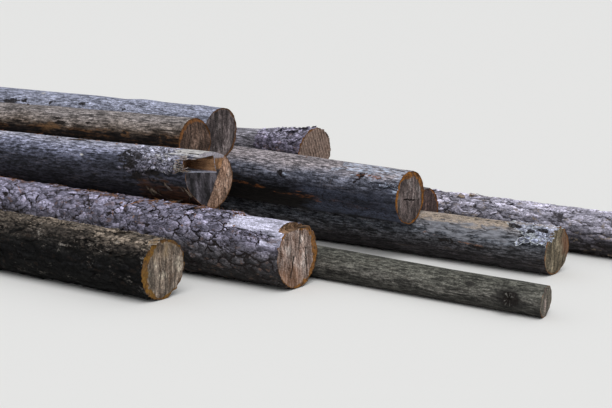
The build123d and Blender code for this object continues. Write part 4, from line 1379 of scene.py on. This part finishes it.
def makeStub(node, settings):
    # a broken branch: a short cone, its torn end hollow
    shape, spokes, rings = shapes[node], settings["spokes"], settings["rings"]
    middle, turn = settings["place"], math.radians(settings["turn"])
    around = np.arange(spokes) / spokes * fullTurn
    places, torn = [], []
    for k, (wide, high) in enumerate(rings):
        circle = np.stack([np.cos(around) * 2, np.sin(around) * 2, around * 0 + k], -1)
        ragged = layeredNoise(circle, settings["seed"], 2)
        reach = wide * settings["size"] * (1 + 0.12 * ragged)
        height = high * settings["height"] * (1 + (0.35 * ragged if k > 1 else 0))
        angle = turn - reach * np.sin(around) / shape.radius(middle + shape.right, turn)
        places.append(shape.place(middle + reach * np.cos(around), angle, height))
        torn.append(np.isin(np.arange(spokes), settings["torn"]) * (k > 1))
    for level in (rings[0][1], rings[-1][1] * 0.8):
        places.append(shape.place(np.array([middle]), np.array([turn]), level * settings["height"]))
    places, torn = np.concatenate(places), np.concatenate([*torn, [0, 0]])
    marks = {name: np.zeros(len(places)) for name in markNames}
    marks |= {"bare": np.ones(len(places)), "pale": 0.6 * torn, "crack": 1.0 - 0.8 * torn}
    marks["space"] = shape.local(places)[0]
    here = np.arange(len(rings) * spokes).reshape(len(rings), spokes)
    there = np.roll(here, -1, axis=1)
    faces = strip(here, there).tolist()
    for centre, first, second in ((here.size, there[0], here[0]), (here.size + 1, here[-1], there[-1])):
        faces += np.stack([first, second, np.full(spokes, centre)], -1).tolist()
    return closedPiece(node + "_stub", places, faces, marks, skins[node])


for node, groups in scrapSettings.items():
    dress(layScraps(node, groups, scrapShape), None)
dress(makeStub("thin_pole", stubSettings), None)
print("loose bark is laid")


# Fallen needles and crumbs of bark, scattered by Geometry Nodes where a log's litter attribute says

litterSettings = {
    "stepped_front_log": [
        dict(span=(-2.6, -0.3), angles=(66, 104), needles=1900.0, crumbs=2400.0),
        dict(span=(-2.6, -0.1), angles=(104, 150), needles=60.0, crumbs=130.0),
    ],
    "notched_log": [dict(span=(-1.9, -0.2), angles=(70, 104), needles=150.0, crumbs=420.0)],
    "long_upper_log": [dict(span=(-1.6, -0.03), angles=(76, 100), crumbs=110.0)],
    "top_front_log": [dict(span=(-1.9, -0.05), angles=(60, 92), needles=60.0, crumbs=90.0)],
    "ragged_end_log": [dict(span=(-1.5, -0.9), angles=(96, 140), needles=160.0, crumbs=700.0)],
}

looseSettings = dict(
    needles=dict(smallest=0.03, largest=0.07, tilt=0.25, skin="dry_needles", seed=401,
                 light=(0.5, 0.225, 0.085), dark=(0.15, 0.058, 0.028)),
    crumbs=dict(smallest=0.006, largest=0.022, tilt=0.5, skin="bark_crumbs", seed=403,
                light=(0.26, 0.16, 0.12), dark=(0.045, 0.028, 0.024)))


def crumbShape():
    rim = [(1.0, 0.1), (0.5, 0.62), (-0.4, 0.7), (-1.0, 0.15), (-0.7, -0.55), (0.3, -0.65)]
    places = [(0.5 * (x * grow), 0.5 * (y * grow), z) for z, grow in ((0.0, 1.0), (0.13, 0.85)) for x, y in rim]
    places += [(0, 0, -0.02), (0.05, 0, 0.2)]
    ring = [(k, (k + 1) % 6) for k in range(6)]
    faces = [(a, b, b + 6, a + 6) for a, b in ring]
    return places, faces + [(b, a, 12) for a, b in ring] + [(a + 6, b + 6, 13) for a, b in ring]


def needleShape():
    places = []
    for share in (-0.5, -0.25, 0.0, 0.25, 0.5):
        wide, bend = 0.020 * (1 - abs(share) * 1.2), share**2
        for angle in (0, fullTurn / 3, 2 * fullTurn / 3):
            places.append((share, 0.1 * bend + wide * math.cos(angle), 0.03 + 0.12 * bend + wide * math.sin(angle)))
    faces = [(k + a, k + b, k + 3 + b, k + 3 + a) for k in (0, 3, 6, 9) for a, b in ((0, 1), (1, 2), (2, 0))]
    return places, [*faces, (2, 1, 0), (12, 13, 14)]


def scatter(node, kind, holder, material, settings):
    mesh = pieces[node].data
    space = readVectors(mesh, mesh.attributes["space"].data, "vector")
    angle, radius = np.arctan2(space[:, 2], space[:, 1]), np.hypot(space[:, 1], space[:, 2])
    amount = np.zeros(len(space))
    for area in litterSettings[node]:
        ground = patch("litter", area["span"], area["angles"], ragged=0.02)
        inside = insidePatch(ground, space[:, 0], angle, radius, space, 301)
        amount = np.maximum(amount, area[kind] * smoothStep(-0.02, 0.03, inside))
    clump = smoothStep(-0.5, 0.6, layeredNoise(space * (7, 14, 14), 303, 2))
    saveMarks(mesh, {"litter": amount * clump * readFloats(mesh, "skin")})
    r = Growth(kind, {"Shape": holder, "Seed": 7 + len(kind), "Smallest": settings["smallest"],
                      "Largest": settings["largest"], "Tilt": settings["tilt"], "Surface": material}, 3)
    spread = {"Mesh": r.size("Geometry"), "Density": r.attribute("litter"), "Seed": r.size("Seed")}
    points = r.node("GeometryNodeDistributePointsOnFaces", None, spread)
    facing = Wire(r.tree, points.socket.node.outputs["Rotation"])
    points = r.node("GeometryNodeStoreNamedAttribute", {"data_type": "FLOAT", "domain": "POINT"},
                    {"Geometry": points, "Name": "own", "Value": r.chance(0.0, 1.0, 2)})
    tilts = {letter: r.chance(-1.0, 1.0, seed) * r.size("Tilt") for letter, seed in (("X", 3), ("Y", 4))}
    bend = r.node("CombineXYZ", None, {**tilts, "Z": r.chance(0.0, fullTurn, 5)})
    turned = r.node("FunctionNodeEulerToRotation", None, {0: bend})
    rotation = r.node("FunctionNodeRotateRotation", {"rotation_space": "LOCAL"}, {0: facing, 1: turned})
    source = r.node("GeometryNodeObjectInfo", None, {"Object": r.size("Shape")}, "Geometry")
    size = r.chance(r.size("Smallest"), r.size("Largest"), 6)
    laid = r.node("GeometryNodeInstanceOnPoints", None,
                  {"Points": points, "Instance": source, "Rotation": rotation, "Scale": size})
    laid = r.node("GeometryNodeRealizeInstances", None, {"Geometry": laid})
    laid = r.node("GeometryNodeSetMaterial", None, {"Geometry": laid, "Material": r.size("Surface")})
    litter = inScene(f"{node}_{kind}", r.grow(pieces[node], laid))
    mesh.attributes.remove(mesh.attributes["litter"])
    return litter


holders, coats = {}, {}
for kind, makeShape in (("needles", needleShape), ("crumbs", crumbShape)):
    settings = looseSettings[kind]
    holders[kind] = inScene(kind, plainMesh(kind, *makeShape()))
    coats[kind] = looseMaterial(settings["skin"], settings["light"], settings["dark"], settings["seed"])
for node, areas in litterSettings.items():
    for kind in holders:
        if kind in areas[0]:
            litter = scatter(node, kind, holders[kind], coats[kind], looseSettings[kind])
            dress(litter, None)
            print("litter", node, kind, len(litter.data.polygons), "faces")
for holder in holders.values():
    bpy.data.objects.remove(holder)
